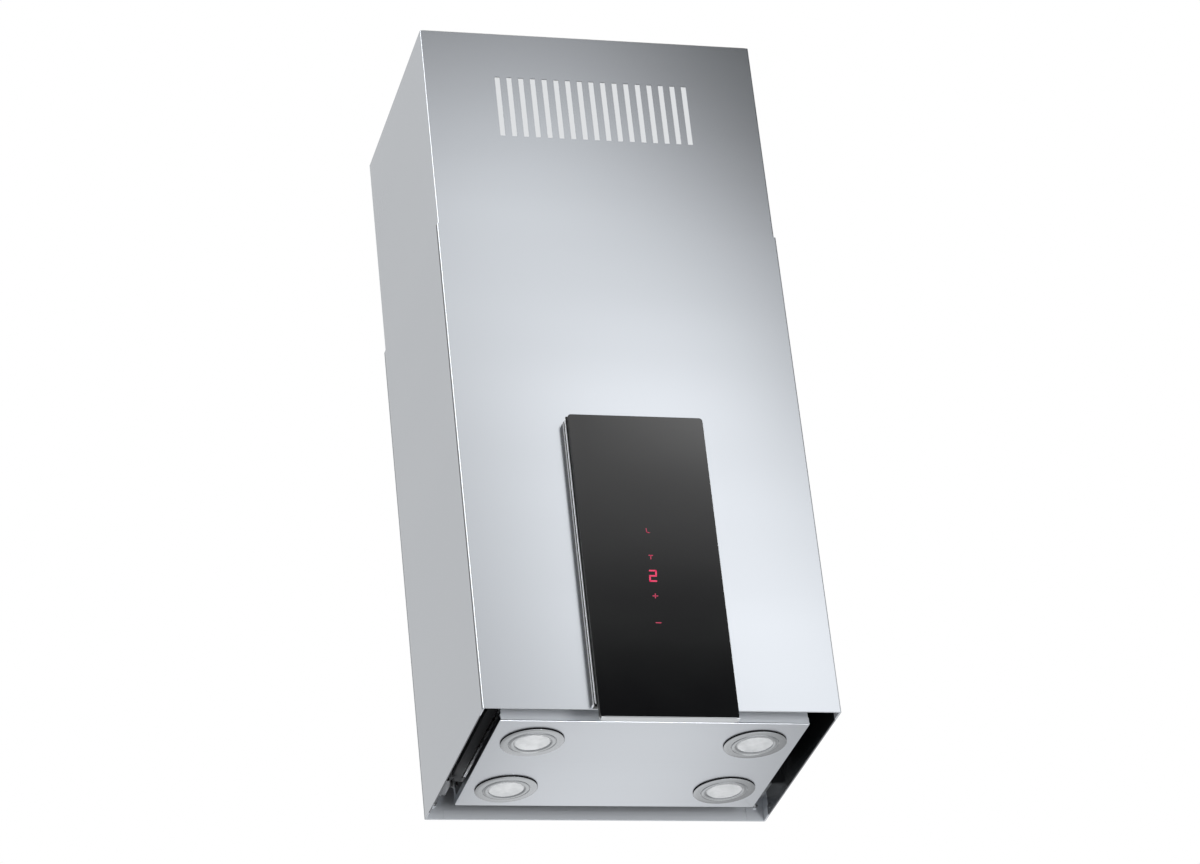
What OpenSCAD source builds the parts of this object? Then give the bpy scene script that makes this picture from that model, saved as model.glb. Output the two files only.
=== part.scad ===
// Island range hood: a ceiling frame carries a telescopic steel chimney, and under it a casing
// with perimeter suction, a blower, four spotlights and a touch control behind black glass.
// Units are millimetres. The origin is the centre of the ceiling frame's top face, +Z is up,
// and the control faces -Y. Sizes ending in _z are heights above the casing's lower edge.

/* [Overall] */
// Height from the casing's lower edge to the ceiling, as adjusted
total_h = 862; // [856:1:890]
// Width of the casing across the front
hood_w = 400; // [390:1:440]
// Depth of the casing
hood_d = 300; // [296:1:340]
// How far the hood can be raised from this height
travel_up = 110; // [60:1:112]
// How far the hood can be lowered from this height
travel_down = 150; // [80:1:150]

/* [Casing] */
// Height of the casing
casing_h = 600; // [560:1:640]
// Thickness of the stainless sheet
sheet_t = 1; // [0.8:0.1:1.2]
// Outside radius of the corner bends
bend_r = 1.5; // [1.4:0.1:2.5]
// Length of the front and back panels' wrap round the corner
wrap_l = 3; // [2.6:0.1:6]
// Width of the groove between a wrap and the side sheet
groove_w = 1.3; // [0.8:0.1:2]
// Width of the side sheets' inner flanges
flange_w = 21; // [16:1:24]
// Height of the folded hem along the lower edge
hem_h = 11; // [8:1:14]
// Clearance at the ends of the hems
hem_gap = 0.2; // [0.1:0.1:1]
// Height of the lowest screws in the side sheets' flanges
casing_screw_z = 18; // [16:1:30]
// Distance from the flanges' top ends to the highest screws
casing_screw_drop = 45; // [20:1:60]

/* [Chimney] */
// Length of the upper chimney
chimney_l = 460; // [440:1:464]
// Gap between the casing and the chimney that slides in it
slide_gap = 0.5; // [0.3:0.1:0.8]
// Gap between the chimney's top edge and the ceiling
ceiling_gap = 1; // [0.5:0.5:2]
// Number of ventilation slots in each face
slot_n = 17; // [9:2:21]
// Width of a slot
slot_w = 6; // [4:0.5:8]
// Height of a slot
slot_h = 80; // [50:1:90]
// Distance from slot to slot
slot_pitch = 14; // [12:0.5:16]
// Distance from the ceiling to the slots' top ends
slot_drop = 60; // [40:1:70]

/* [Ceiling frame] */
// Thickness of the ceiling frame's plate
frame_t = 3; // [2:0.5:4]
// Width of the plate along the frame's front and back
frame_band = 40; // [36:1:46]
// Width of the plate along the frame's sides
side_band = 8; // [6:0.5:12]
// Height of the frame's skirt, with the plate
skirt_h = 18; // [14:1:24]
// Thickness of the skirt
skirt_t = 2; // [1.5:0.5:3]
// Distance from the frame's side edges to the ceiling bolts
bolt_inset_x = 27.5; // [24:0.5:32]
// Distance from the frame's front and back edges to the ceiling bolts
bolt_inset_y = 22.5; // [20:0.5:28]
// Radius of the ceiling bolts' holes
bolt_hole_r = 4.5; // [3.5:0.5:5.5]
// Height of the lugs that carry the upper posts
lug_h = 25; // [20:1:30]
// Distance of the chimney's screws from the middle
chimney_screw_x = 120; // [80:1:140]

/* [Posts] */
// Gap between the chimney's inside and the posts
post_gap = 7.5; // [6:0.5:9]
// Width of a post's legs
post_leg = 25; // [22:1:30]
// Thickness of a post's sheet
post_t = 2; // [1.5:0.5:2.5]
// Gap between the nested posts
nest_gap = 0.3; // [0.3:0.1:0.5]
// Clearance above the lower posts when the hood is fully raised
post_head_gap = 4; // [2:1:8]
// Distance from a lower post's top to its upper bolt
clamp_drop = 80; // [60:1:90]
// Distance between a post's two bolts
clamp_pitch = 40; // [30:1:60]
// Radius of the clamp bolts
clamp_r = 2.5; // [2:0.5:3]
// Clearance of the clamp bolts in the upper posts' slots
clamp_gap = 0.5; // [0.3:0.1:1]
// Length of an upper post below its slot
post_end = 25; // [15:1:27]
// Reach of a lower post's foot over the air box
foot_reach = 18; // [14:1:24]

/* [Air box] */
// Space between the air box and the casing's sides
side_space = 22; // [20:0.5:26]
// Space between the air box and the casing's front
front_space = 29; // [26:0.5:32]
// Space between the air box and the casing's back
back_space = 36.5; // [33:0.5:40]
// Height of the air box's lower rim
box_z = 30; // [30:0.5:34]
// Height of the air box
box_h = 253.3; // [245:0.1:253.3]
// Thickness of the air box's sheet
box_t = 1.2; // [1:0.1:1.5]
// Width of the lower rim
rim_w = 11.5; // [10:0.5:14]
// Thickness of the top plate
top_t = 1.5; // [1:0.1:2]
// Height of the channels between the air box and the casing's sides
channel_h = 30; // [24:1:36]
// Length of these channels
channel_l = 150; // [120:1:180]
// Distance from the air box's top to the channels
channel_drop = 13.3; // [10:0.1:30]
// Distance between a channel's screws
channel_screw_pitch = 100; // [80:1:110]

/* [Suction panel] */
// Distance of the suction panel's edges inside the air box's walls
panel_inset = 3; // [2.5:0.1:5]
// Thickness of the suction panel's sheet
panel_t = 1.2; // [1:0.1:1.5]
// Height of the front flange
panel_front_h = 20; // [16:0.5:22]
// Height of the side and rear flanges
panel_side_h = 8; // [6:0.5:10]
// Depth of the strike lip on the front flange
strike_d = 12; // [10:1:16]
// Gap between a magnet and the strike lip
magnet_gap = 0.3; // [0.3:0.1:0.6]
// Length of a magnet
magnet_l = 24; // [16:1:30]
// Thickness of a magnet block
magnet_w = 9; // [7:1:10]
// Distance from the suction panel's side edges to the magnets' middle
magnet_inset = 64; // [44:1:90]

/* [Hinge] */
// Distance of the hinge axis inside the suction panel's rear edge
hinge_inset = 5.5; // [5:0.1:7]
// Height of the hinge axis
hinge_z = 24; // [23:0.5:24]
// Radius of a hinge pin
pin_r = 2; // [1.5:0.25:2]
// Radial running clearance of the pins
run_gap = 0.05; // [0.03:0.01:0.08]
// Radius of a hinge ear's round end
ear_r = 3.4; // [3:0.1:3.5]
// Width of a hinge ear at its foot
ear_w = 10; // [8:0.5:10]
// Gap between a hinge ear and its bracket
ear_gap = 0.6; // [0.4:0.1:1]
// Thickness of the bracket sheet
bracket_t = 1.5; // [1:0.25:2]
// Depth of a hinge bracket's shelf along Y
shelf_d = 40; // [30:1:42]
// Height of the hinge bracket's flange on the air box
bracket_h = 32; // [26:1:36]
// Radius of a hinge pin's head
pin_head_r = 3.8; // [3.2:0.1:3.8]
// Height of a hinge pin's head
pin_head_h = 2; // [1.5:0.25:2.5]

/* [Lamps] */
// Distance from the suction panel's side and rear edges to the lamps' centres
lamp_inset = 48; // [44:0.5:54]
// Distance from the suction panel's front edge to the front lamps' centres
lamp_front_inset = 52.5; // [48:0.5:58]
// Radius of a lamp's bezel
bezel_r = 35; // [33:0.5:37]
// How far a bezel stands below the panel
bezel_h = 2; // [1:0.5:3]
// Radius of a lamp's body
can_r = 29; // [27:0.5:31]
// Height of a lamp's body above the panel's lower face
can_h = 21; // [18:0.5:23]
// Thickness of a lamp's sheet
can_t = 1; // [0.8:0.1:1.5]
// Radius of the retaining ring round the lens
lens_ring_r = 25.5; // [24:0.5:26]
// Radius of the lens
lens_r = 20; // [18:0.5:21]
// Thickness of the lens
lens_t = 3; // [2:0.5:4]
// Clearance round the lens and round the lamp's body
lamp_gap = 0.2; // [0.1:0.05:0.3]
// Width of the groove between the bezel and the retaining ring
ring_gap = 0.6; // [0.4:0.1:1]
// Width of a lamp's spring clip
clip_w = 8; // [6:0.5:10]
// Height at which a clip is fixed to the lamp's body
clip_h = 14; // [11:0.5:15]
// Reach of a clip over the panel
clip_reach = 8; // [6:0.5:8]
// Thickness of a clip
clip_t = 0.8; // [0.5:0.1:1]

/* [Grease filter] */
// Gap between the filter and the rim
filter_gap = 1.5; // [1:0.25:2]
// Thickness of the filter
filter_t = 8; // [7:0.5:10]
// Width of the filter's frame
filter_band = 12; // [10:1:14]
// Number of pleats in the filter's mesh
pleat_n = 38; // [20:1:44]
// Thickness of the pleated mesh
mesh_t = 0.9; // [0.6:0.1:1.2]
// Travel of the filter's latch
latch_travel = 6; // [5:0.5:7]
// Width of the latch's thumb plate
latch_w = 40; // [30:1:50]
// Depth of the latch's thumb plate
latch_d = 18; // [15:1:20]
// Thickness of the latch
latch_t = 3; // [2.5:0.5:3]
// Width of the latch's tongue
tongue_w = 16; // [12:1:20]
// Clearance round the latch
latch_gap = 0.3; // [0.2:0.1:0.5]
// Length of the latch's spring at rest
spring_l = 13; // [12:0.5:16]
// Outside radius of the latch's spring
spring_r = 1.6; // [1.2:0.1:1.7]
// Number of turns in the spring
spring_n = 6; // [4:1:8]

/* [Blower] */
// Distance from the air box's left wall to the blower's axis
blower_inset = 111; // [108:1:114]
// Height of the blower's axis
blower_z = 150; // [146:1:152]
// Width of the scroll along its axis
scroll_w = 110; // [104:1:112]
// Thickness of the scroll's wall
scroll_t = 1.5; // [1:0.1:2]
// Radius of the scroll at its tongue
scroll_r0 = 78; // [76:1:80]
// Radius of the scroll at its outlet
scroll_r1 = 112; // [104:1:112]
// Angle of the tongue from the horizontal
tongue_a = 72; // [68:1:76]
// Radius of the scroll's inlets
inlet_r = 60; // [58:0.5:62]
// Outside radius of the impeller
impeller_r = 70; // [66:0.5:72]
// Inside radius of the blades
blade_in_r = 57; // [54:0.5:58]
// Width of the impeller along its axis
impeller_w = 93; // [80:1:94]
// Number of blades
blade_n = 32; // [24:1:40]
// Thickness of a blade
blade_t = 1; // [0.8:0.1:1.5]
// Forward sweep of a blade's outer edge, in degrees
blade_sweep = 9; // [5:1:14]
// Radius of the motor
motor_r = 44; // [40:0.5:46]
// Length of the motor
motor_l = 80; // [70:1:84]
// Gap between the motor and the impeller's disc
motor_gap = 4; // [3:0.5:6]
// Radius of the motor's shaft
shaft_r = 4; // [3:0.5:5]
// Radius of the impeller's hub
hub_r = 11; // [9:0.5:14]
// Radius at which the motor's arms are screwed
arm_r = 71; // [70:0.5:72]
// Thickness of the rubber grommets
grommet_t = 4; // [3:0.5:5]
// Radius of a grommet
grommet_r = 7; // [6:0.5:8]
// Thickness of the motor's arms
arm_t = 3; // [2:0.5:4]
// Thickness of the impeller's end rings
ring_t = 1.5; // [1:0.1:2]
// Thickness of the impeller's disc
disc_t = 2; // [1.5:0.1:3]
// Length of the impeller's hub behind the disc
hub_l = 11; // [9:0.5:14]
// Width of the flange round the scroll's outlet
outlet_band = 6; // [5:0.5:8]

/* [Outlet] */
// Outside radius of the duct spigot
spigot_r = 74.5; // [73.5:0.5:74.5]
// Height of the spigot above the top plate
spigot_h = 45; // [40:1:50]
// Thickness of the spigot's wall
spigot_t = 2; // [1.5:0.1:2.5]
// Radius of the spigot's flange
spigot_flange_r = 90; // [88:0.5:92]
// Radius of the flaps' pins
flap_pin_r = 1.5; // [1.25:0.25:1.75]
// Distance between the flaps' pins
flap_pin_pitch = 8; // [7.5:0.5:10]
// Height of the flaps' pins above the top plate
flap_pin_z = 12; // [11:0.5:14]
// Thickness of a flap
flap_t = 1.2; // [1:0.1:1.5]
// Clearance round a flap's edge
flap_gap = 1; // [0.5:0.1:1.5]
// Thickness of the spigot's flange
spigot_flange_t = 2; // [1.5:0.5:3]
// Width of the stop on which the flaps rest
stop_w = 4; // [3:0.5:5]
// Length of a flap's knuckle
knuckle_l = 20; // [14:1:24]
// Distance from the middle to a knuckle's far end
knuckle_y = 60; // [50:1:62]

/* [Control] */
// Width of the glass
glass_w = 155; // [145:1:158]
// Height of the glass
glass_h = 366.5; // [350:0.5:380]
// How far the glass hangs below the casing's edge
glass_drop = 17.5; // [14:0.5:20]
// How far the glass reaches above its base
glass_over = 2.5; // [0:0.5:6]
// Thickness of the glass
glass_t = 6; // [4:0.5:8]
// How far the base reaches out beyond the glass's side edges
base_reach = 3.5; // [0:0.5:8]
// Depth of the base
control_base_t = 6; // [5:0.5:8]
// Depth of the black spacer
spacer_t = 4; // [3:0.5:6]
// Distance of the spacer's edge inside the base's edge
spacer_inset = 5; // [4:0.5:8]
// Thickness of the glass carrier's sheet
carrier_t = 2; // [1.5:0.5:2.5]
// Distance from the base's top edge to its upper screws
control_screw_drop = 81; // [76:1:120]
// Radius of the glass's corners
glass_r = 4; // [2:0.5:6]
// Width of the touch board
board_w = 58; // [50:1:64]
// Height of the touch board
board_h = 170; // [160:1:180]
// Height of the touch board's centre above the casing's edge
board_z = 155; // [150:1:160]
// Thickness of the touch board
board_t = 1.6; // [1:0.1:2]
// Side of the display on the touch board's back
display_w = 26; // [18:1:34]
// Width of the connector below the display
connector_w = 16; // [10:1:22]
// Height of the connector
connector_h = 8; // [5:0.5:10]
// Radius of the hole for the control's cable
cable_hole_r = 9; // [7:0.5:12]
// Width of the rim round the base's and the spacer's pocket
pocket_band = 8; // [6:0.5:10]
// Thickness of the base's back
base_back_t = 1.5; // [1:0.1:2]
// Depth of the ledge under the glass
ledge_d = 10; // [8:0.5:10]
// Thickness of this ledge
ledge_t = 1.5; // [1:0.1:2]

/* [Electrics] */
// Size of the terminal box along X
terminal_w = 54; // [45:1:58]
// Size of the terminal box along Y
terminal_d = 76; // [60:1:80]
// Height of the terminal box
terminal_h = 34; // [28:1:40]
// Wall of the terminal box
terminal_t = 2; // [1.5:0.5:3]
// Radius of the cable gland
gland_r = 9; // [8:0.5:10]
// Radius of the mains cable's way through the gland
cable_r = 4; // [3:0.25:4.5]
// Length of the lamp driver
driver_l = 80; // [60:1:90]
// Width of the lamp driver
driver_w = 40; // [30:1:42]
// Height of the lamp driver
driver_h = 22; // [18:1:28]
// Radius of the motor's capacitor
capacitor_r = 17.5; // [15:0.5:20]
// Length of the motor's capacitor
capacitor_l = 70; // [60:1:80]
// Gap between the capacitor and the air box's walls
capacitor_gap = 8; // [4:1:20]

/* [Fasteners] */
// Radius of the sheet screws' shanks
screw_r = 1.75; // [1.5:0.25:2]
// Radius of the sheet screws' heads
screw_head_r = 3.6; // [3.2:0.1:4]
// Height of the sheet screws' heads
screw_head_h = 2.4; // [2:0.1:3]
// Clearance of the screws in their holes
screw_gap = 0.2; // [0.1:0.05:0.3]
// How far a screw's tip stands out behind the sheets
screw_tail = 2; // [1:0.5:3]
// Radius of the clamp bolts' heads and nuts
clamp_head_r = 4.5; // [4:0.1:5]
// Height of the clamp bolts' heads and nuts
clamp_head_h = 3.5; // [3:0.1:4]

/* [Hidden] */
$fn = 64;
e = 0.01; // how far a cut runs past the face that it starts from
press = 0.02; // clearance of a pin or shaft that is pressed in

chimney_w = hood_w - 2 * (sheet_t + slide_gap);
chimney_d = hood_d - 2 * (sheet_t + slide_gap);
frame_w = chimney_w - 2 * sheet_t;
frame_d = chimney_d - 2 * sheet_t;
frame_r = 2 * bend_r; // stays clear of the chimney's bends
in_w = hood_w - 2 * sheet_t;
in_d = hood_d - 2 * sheet_t;
lap_t = sheet_t / 2;

// the chimney's lower edge comes down to this height when the hood is fully raised
reach_z = total_h - travel_up - ceiling_gap - chimney_l;
flange_top_z = reach_z - 6;

post_x = frame_w / 2 - post_gap;
post_y = frame_d / 2 - post_gap;
nest_x = post_x - post_t - nest_gap;
nest_y = post_y - post_t - nest_gap;
lug_bottom = frame_t + lug_h;
lower_post_top_z = total_h - travel_up - lug_bottom - post_head_gap;
clamp_zs = [for (i = [0, 1]) lower_post_top_z - clamp_drop - i * clamp_pitch];
clamp_slot_r = clamp_r + clamp_gap;
slot_top_end = total_h - clamp_zs[0] - travel_up - clamp_slot_r;
slot_low_end = total_h - clamp_zs[1] + travel_down + clamp_slot_r;
upper_post_low = slot_low_end + post_end;

box_w = in_w - 2 * side_space;
box_front = -in_d / 2 + front_space;
box_back = in_d / 2 - back_space;
box_d = box_back - box_front;
box_y = (box_front + box_back) / 2;
box_top_z = box_z + box_h;
plate_top_z = box_top_z + top_t;
rim_in_w = box_w - 2 * rim_w;
rim_in_d = box_d - 2 * rim_w;

panel_w = box_w - 2 * panel_inset;
panel_d = box_d - 2 * panel_inset;
panel_front = box_front + panel_inset;
panel_back = box_back - panel_inset;
magnet_x = panel_w / 2 - magnet_inset;

hinge_y = panel_back - hinge_inset;
bracket_x = panel_w / 2 + ear_gap;
axis_r = pin_r + run_gap;

filter_w = rim_in_w - 2 * filter_gap;
filter_d = rim_in_d - 2 * filter_gap;
filter_front = box_y - filter_d / 2;
filter_back = box_y + filter_d / 2;
latch_wall = 5; // wall between the latch's pocket and the filter's front edge
latch_front = filter_front + latch_wall + latch_gap;
latch_back = latch_front + latch_d;
handle_back = latch_back + spring_l + 4;
rim_top_z = box_z + box_t;

blower_x = -box_w / 2 + blower_inset;
scroll_top = box_top_z - blower_z; // height of the outlet above the blower's axis
tongue_x = scroll_r0 * cos(tongue_a);
arm_y = -scroll_w / 2 - grommet_t;
arm_as = [90, 210, 330]; // directions of the motor's arms

spigot_in_r = spigot_r - spigot_t;
flap_z = plate_top_z + flap_pin_z;
flap_r = spigot_in_r - flap_gap;
knuckle_r = flap_pin_r + run_gap + 1.25;
stop_h = flap_pin_z - knuckle_r - 0.3;

control_w = glass_w + 2 * base_reach;
control_h = glass_h - glass_drop - glass_over;
control_y = -hood_d / 2;
spacer_y = control_y - control_base_t;
carrier_y = spacer_y - spacer_t;
glass_y = carrier_y - carrier_t;
pocket_inset = spacer_inset + pocket_band;
// the screws stay inside the base's pocket, above the suction gap and below the raised chimney
control_screw_x = control_w / 2 - pocket_inset - screw_head_r - 1.4;
control_screw_zs = [box_z + screw_head_r, control_h - control_screw_drop];

terminal_x = spigot_flange_r + 4;
terminal_y = -96;
driver_x = -spigot_flange_r - 4 - driver_w;
driver_y = -60;
capacitor_x = box_w / 2 - box_t - capacitor_gap - capacitor_r;
capacitor_y = box_back - box_t - capacitor_gap - capacitor_r;

// places of the fasteners
chimney_screw_z = -(frame_t + skirt_h) / 2;
post_screw_z = -frame_t - lug_h / 2;
post_hole_y = post_y - post_leg / 2;
foot_x = box_w / 2 - foot_reach / 2;
foot_y = [-(box_front + foot_reach / 2), box_back - foot_reach / 2]; // front, back
casing_screw_pitch = (flange_top_z - casing_screw_drop - casing_screw_z) / 2;
casing_screw_zs = [for (i = [0 : 2]) casing_screw_z + i * casing_screw_pitch];
casing_screw_x = in_w / 2 - flange_w / 2;
channel_z = box_top_z - channel_drop - channel_h;
channel_screw_z = channel_z + channel_h * 0.6;
hinge_screw_z = box_z + bracket_h * 0.6;
spigot_screw_r = (spigot_flange_r + spigot_r) / 2;
lamp_x = panel_w / 2 - lamp_inset;
lamp_places = [for (y = [panel_front + lamp_front_inset, panel_back - lamp_inset], x = [-1, 1])
    [x * lamp_x, y]];

SIDES = [["left", -1], ["right", 1]];
CORNERS = [
    ["front_left", -1, -1], ["front_right", 1, -1],
    ["back_left", -1, 1], ["back_right", 1, 1]
];

// ---------------------------------------------------------------- shared shapes

// Places a piece whose heights are measured from the casing's lower edge.
module at_hood() { translate([0, 0, -total_h]) children(); }

// A box between two corners.
module block(lo, hi) { translate(lo) cube(hi - lo); }

// A rectangle with round corners, centred.
module round_rect(w, d, r) {
    square([w - 2 * r, d], center = true);
    square([w, d - 2 * r], center = true);
    for (x = [-1, 1], y = [-1, 1]) translate([x * (w / 2 - r), y * (d / 2 - r)]) circle(r);
}

// The section of a bent sheet tube: outside size, outside bend and wall.
module tube_2d(w, d, r, t) {
    difference() {
        round_rect(w, d, r);
        round_rect(w - 2 * t, d - 2 * t, r - t);
    }
}

// An angle section in the corner (sx, sy), with its outer corner at x, y.
module angle_2d(sx, sy, x, y, leg, t) {
    outline = [[0, 0], [-leg, 0], [-leg, -t], [-t, -t], [-t, -leg], [0, -leg]];
    polygon([for (p = outline) [sx * (x + p[0]), sy * (y + p[1])]]);
}

// Cylinders along X and Y that start at the given point.
module rod_x(at, r, l) { translate(at) rotate([0, 90, 0]) cylinder(h = l, r = r); }
module rod_y(at, r, l) { translate(at) rotate([-90, 0, 0]) cylinder(h = l, r = r); }

// A pan-head screw with its head on +Z and its shank below, seated at the origin.
module screw(l) {
    rotate_extrude() polygon([
        [0, -l], [screw_r, -l], [screw_r, 0], [screw_head_r, 0], [screw_head_r, screw_head_h * 0.5],
        [screw_head_r * 0.6, screw_head_h], [0, screw_head_h]
    ]);
}

// ---------------------------------------------------------------- ceiling side

module ceiling_frame() color("gainsboro") difference() {
    union() {
        translate([0, 0, -frame_t]) linear_extrude(frame_t) difference() {
            round_rect(frame_w, frame_d, frame_r);
            square([frame_w - 2 * side_band, frame_d - 2 * frame_band], center = true);
        }
        translate([0, 0, -skirt_h]) linear_extrude(skirt_h - frame_t)
            tube_2d(frame_w, frame_d, frame_r, skirt_t);
        for (c = CORNERS) translate([0, 0, -lug_bottom]) linear_extrude(lug_h)
            angle_2d(c[1], c[2], post_x - post_t, post_y - post_t, post_leg - post_t, post_t);
    }
    for (x = [-1, 1], y = [-1, 1])
        translate([x * (frame_w / 2 - bolt_inset_x), y * (frame_d / 2 - bolt_inset_y), -frame_t - e])
            cylinder(h = frame_t + 2 * e, r = bolt_hole_r);
    for (x = [-chimney_screw_x, chimney_screw_x])
        rod_y([x, frame_d / 2 - skirt_t - e, chimney_screw_z], screw_r + screw_gap, skirt_t + 2 * e);
    for (c = CORNERS)
        rod_x([c[1] > 0 ? post_x - 2 * post_t - e : -post_x + post_t - e,
            c[2] * post_hole_y, post_screw_z], screw_r + screw_gap, post_t + 2 * e);
}

module chimney() color("lightsteelblue") difference() {
    translate([0, 0, -ceiling_gap - chimney_l]) linear_extrude(chimney_l)
        tube_2d(chimney_w, chimney_d, bend_r, sheet_t);
    for (i = [0 : slot_n - 1]) translate([(i - (slot_n - 1) / 2) * slot_pitch - slot_w / 2, 0, 0])
        block([0, -chimney_d / 2 - e, -slot_drop - slot_h], [slot_w, chimney_d / 2 + e, -slot_drop]);
    for (x = [-chimney_screw_x, chimney_screw_x])
        rod_y([x, frame_d / 2 - e, chimney_screw_z], screw_r + screw_gap, sheet_t + 2 * e);
}

module frame_screws() color("silver") {
    for (x = [-chimney_screw_x, chimney_screw_x])
        translate([x, chimney_d / 2, chimney_screw_z]) rotate([-90, 0, 0])
            screw(sheet_t + skirt_t + screw_tail);
    for (c = CORNERS) translate([c[1] * post_x, c[2] * post_hole_y, post_screw_z])
        rotate([0, 90 * c[1], 0]) screw(2 * post_t + screw_tail);
}

module upper_post(sx, sy) color("silver") difference() {
    translate([0, 0, -upper_post_low]) linear_extrude(upper_post_low - frame_t)
        angle_2d(sx, sy, post_x, post_y, post_leg, post_t);
    x0 = sx > 0 ? post_x - post_t - e : -post_x - e;
    for (z = [-slot_top_end, -slot_low_end])
        rod_x([x0, sy * post_hole_y, z], clamp_slot_r, post_t + 2 * e);
    block([x0, sy * post_hole_y - clamp_slot_r, -slot_low_end],
        [x0 + post_t + 2 * e, sy * post_hole_y + clamp_slot_r, -slot_top_end]);
    rod_x([x0, sy * post_hole_y, post_screw_z], screw_r + screw_gap, post_t + 2 * e);
}

// ---------------------------------------------------------------- lower frame

module lower_post(sx, sy) color("silver") at_hood() difference() {
    fy = sy < 0 ? -box_front - foot_reach : box_back - foot_reach;
    union() {
        translate([0, 0, plate_top_z]) linear_extrude(lower_post_top_z - plate_top_z)
            angle_2d(sx, sy, nest_x, nest_y, post_leg - post_t, post_t);
        translate([0, 0, plate_top_z]) linear_extrude(post_t)
            polygon([for (p = [[nest_x, nest_y], [nest_x, fy + foot_reach / 3],
                [nest_x - foot_reach / 2, fy], [box_w / 2 - foot_reach, fy],
                [box_w / 2 - foot_reach, nest_y]])
                [sx * p[0], sy * p[1]]]);
    }
    x0 = sx > 0 ? nest_x - post_t - e : -nest_x - e;
    for (z = clamp_zs) rod_x([x0, sy * post_hole_y, z], clamp_r + screw_gap, post_t + 2 * e);
    translate([sx * foot_x, sy * foot_y[sy < 0 ? 0 : 1], plate_top_z - e])
        cylinder(h = post_t + 2 * e, r = screw_r + screw_gap);
}

module clamp_bolts() color("dimgray") at_hood() for (c = CORNERS, z = clamp_zs)
    translate([c[1] * (post_x + nest_gap), c[2] * post_hole_y, z]) rotate([0, 90 * c[1], 0]) {
        grip = 2 * (post_t + nest_gap);
        cylinder(h = clamp_head_h, r = clamp_head_r);
        translate([0, 0, -grip - 2 * clamp_head_h]) cylinder(h = grip + 2 * clamp_head_h + e, r = clamp_r);
        // the nut bears on the inside of the lower post
        translate([0, 0, -grip - clamp_head_h]) cylinder(h = clamp_head_h, r = clamp_head_r, $fn = 6);
    }

// ---------------------------------------------------------------- casing

// The casing's whole section, and its outer and inner half thickness for the lap joints.
module casing_2d() { tube_2d(hood_w, hood_d, bend_r, sheet_t); }
module casing_outer_2d() { tube_2d(hood_w, hood_d, bend_r, lap_t); }
module casing_inner_2d() { tube_2d(hood_w - 2 * lap_t, hood_d - 2 * lap_t, bend_r - lap_t, lap_t); }

// Front or back panel: the face, the half-thickness wraps and the hem between the side flanges.
module casing_panel(sy) {
    hem_w = in_w - 2 * (flange_w + hem_gap);
    linear_extrude(casing_h) {
        intersection() {
            casing_2d();
            translate([0, sy * (hood_d + in_d) / 4]) square([hood_w, sheet_t], center = true);
        }
        intersection() {
            casing_outer_2d();
            translate([0, sy * (hood_d - wrap_l) / 2]) square([hood_w, wrap_l], center = true);
        }
    }
    translate([0, sy * ((in_d - sheet_t) / 2 + e), hem_h / 2])
        cube([hem_w, sheet_t, hem_h], center = true);
}

module casing_front() color("gainsboro") at_hood() difference() {
    casing_panel(-1);
    rod_y([0, -hood_d / 2 - e, board_z], cable_hole_r, sheet_t + 2 * e);
    for (x = [-1, 1], z = control_screw_zs)
        rod_y([x * control_screw_x, -hood_d / 2 - e, z], screw_r + screw_gap, sheet_t + 2 * e);
}

module casing_back() color("gainsboro") at_hood() casing_panel(1);

// Side sheet: the web, the tongues under the wraps, the corner flanges and the hem.
module casing_side(sx) color("gainsboro") at_hood() difference() {
    web_d = hood_d - 2 * (wrap_l + groove_w);
    hem_d = in_d - 2 * (sheet_t + hem_gap);
    union() {
        linear_extrude(casing_h) intersection() {
            union() {
                intersection() { casing_2d(); square([hood_w, web_d], center = true); }
                intersection() { casing_inner_2d(); square([hood_w, in_d], center = true); }
            }
            translate([sx * hood_w / 2, 0]) square([2 * bend_r + 2, hood_d], center = true);
        }
        for (sy = [-1, 1])
            translate([sx * ((in_w - flange_w) / 2 + e), sy * (in_d - sheet_t) / 2, flange_top_z / 2])
                cube([flange_w, sheet_t, flange_top_z], center = true);
        translate([sx * ((in_w - sheet_t) / 2 + e), 0, hem_h / 2])
            cube([sheet_t, hem_d, hem_h], center = true);
    }
    for (sy = [-1, 1], z = casing_screw_zs)
        rod_y([sx * casing_screw_x, sy > 0 ? in_d / 2 - sheet_t - e : -in_d / 2 - e, z],
            screw_r + screw_gap, sheet_t + 2 * e);
}

// Channel between the air box and the casing's side.
module casing_bracket(sx) color("silver") at_hood() difference() {
    w = (in_w - box_w) / 2;
    translate([sx * (box_w + in_w) / 4, 0, channel_z + channel_h / 2]) difference() {
        cube([w, channel_l, channel_h], center = true);
        translate([0, 0, bracket_t]) cube([w - 2 * bracket_t, channel_l + 2 * e, channel_h],
            center = true);
        for (y = [-1, 0, 1]) translate([0, y * channel_l / 3, 0])
            cube([w / 2, channel_l / 6, channel_h + 2 * e], center = true);
    }
    for (y = [-1, 1])
        rod_x([sx > 0 ? box_w / 2 - e : -box_w / 2 - bracket_t - e, y * channel_screw_pitch / 2,
            channel_screw_z], screw_r + screw_gap, bracket_t + 2 * e);
}

// ---------------------------------------------------------------- air box

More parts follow.
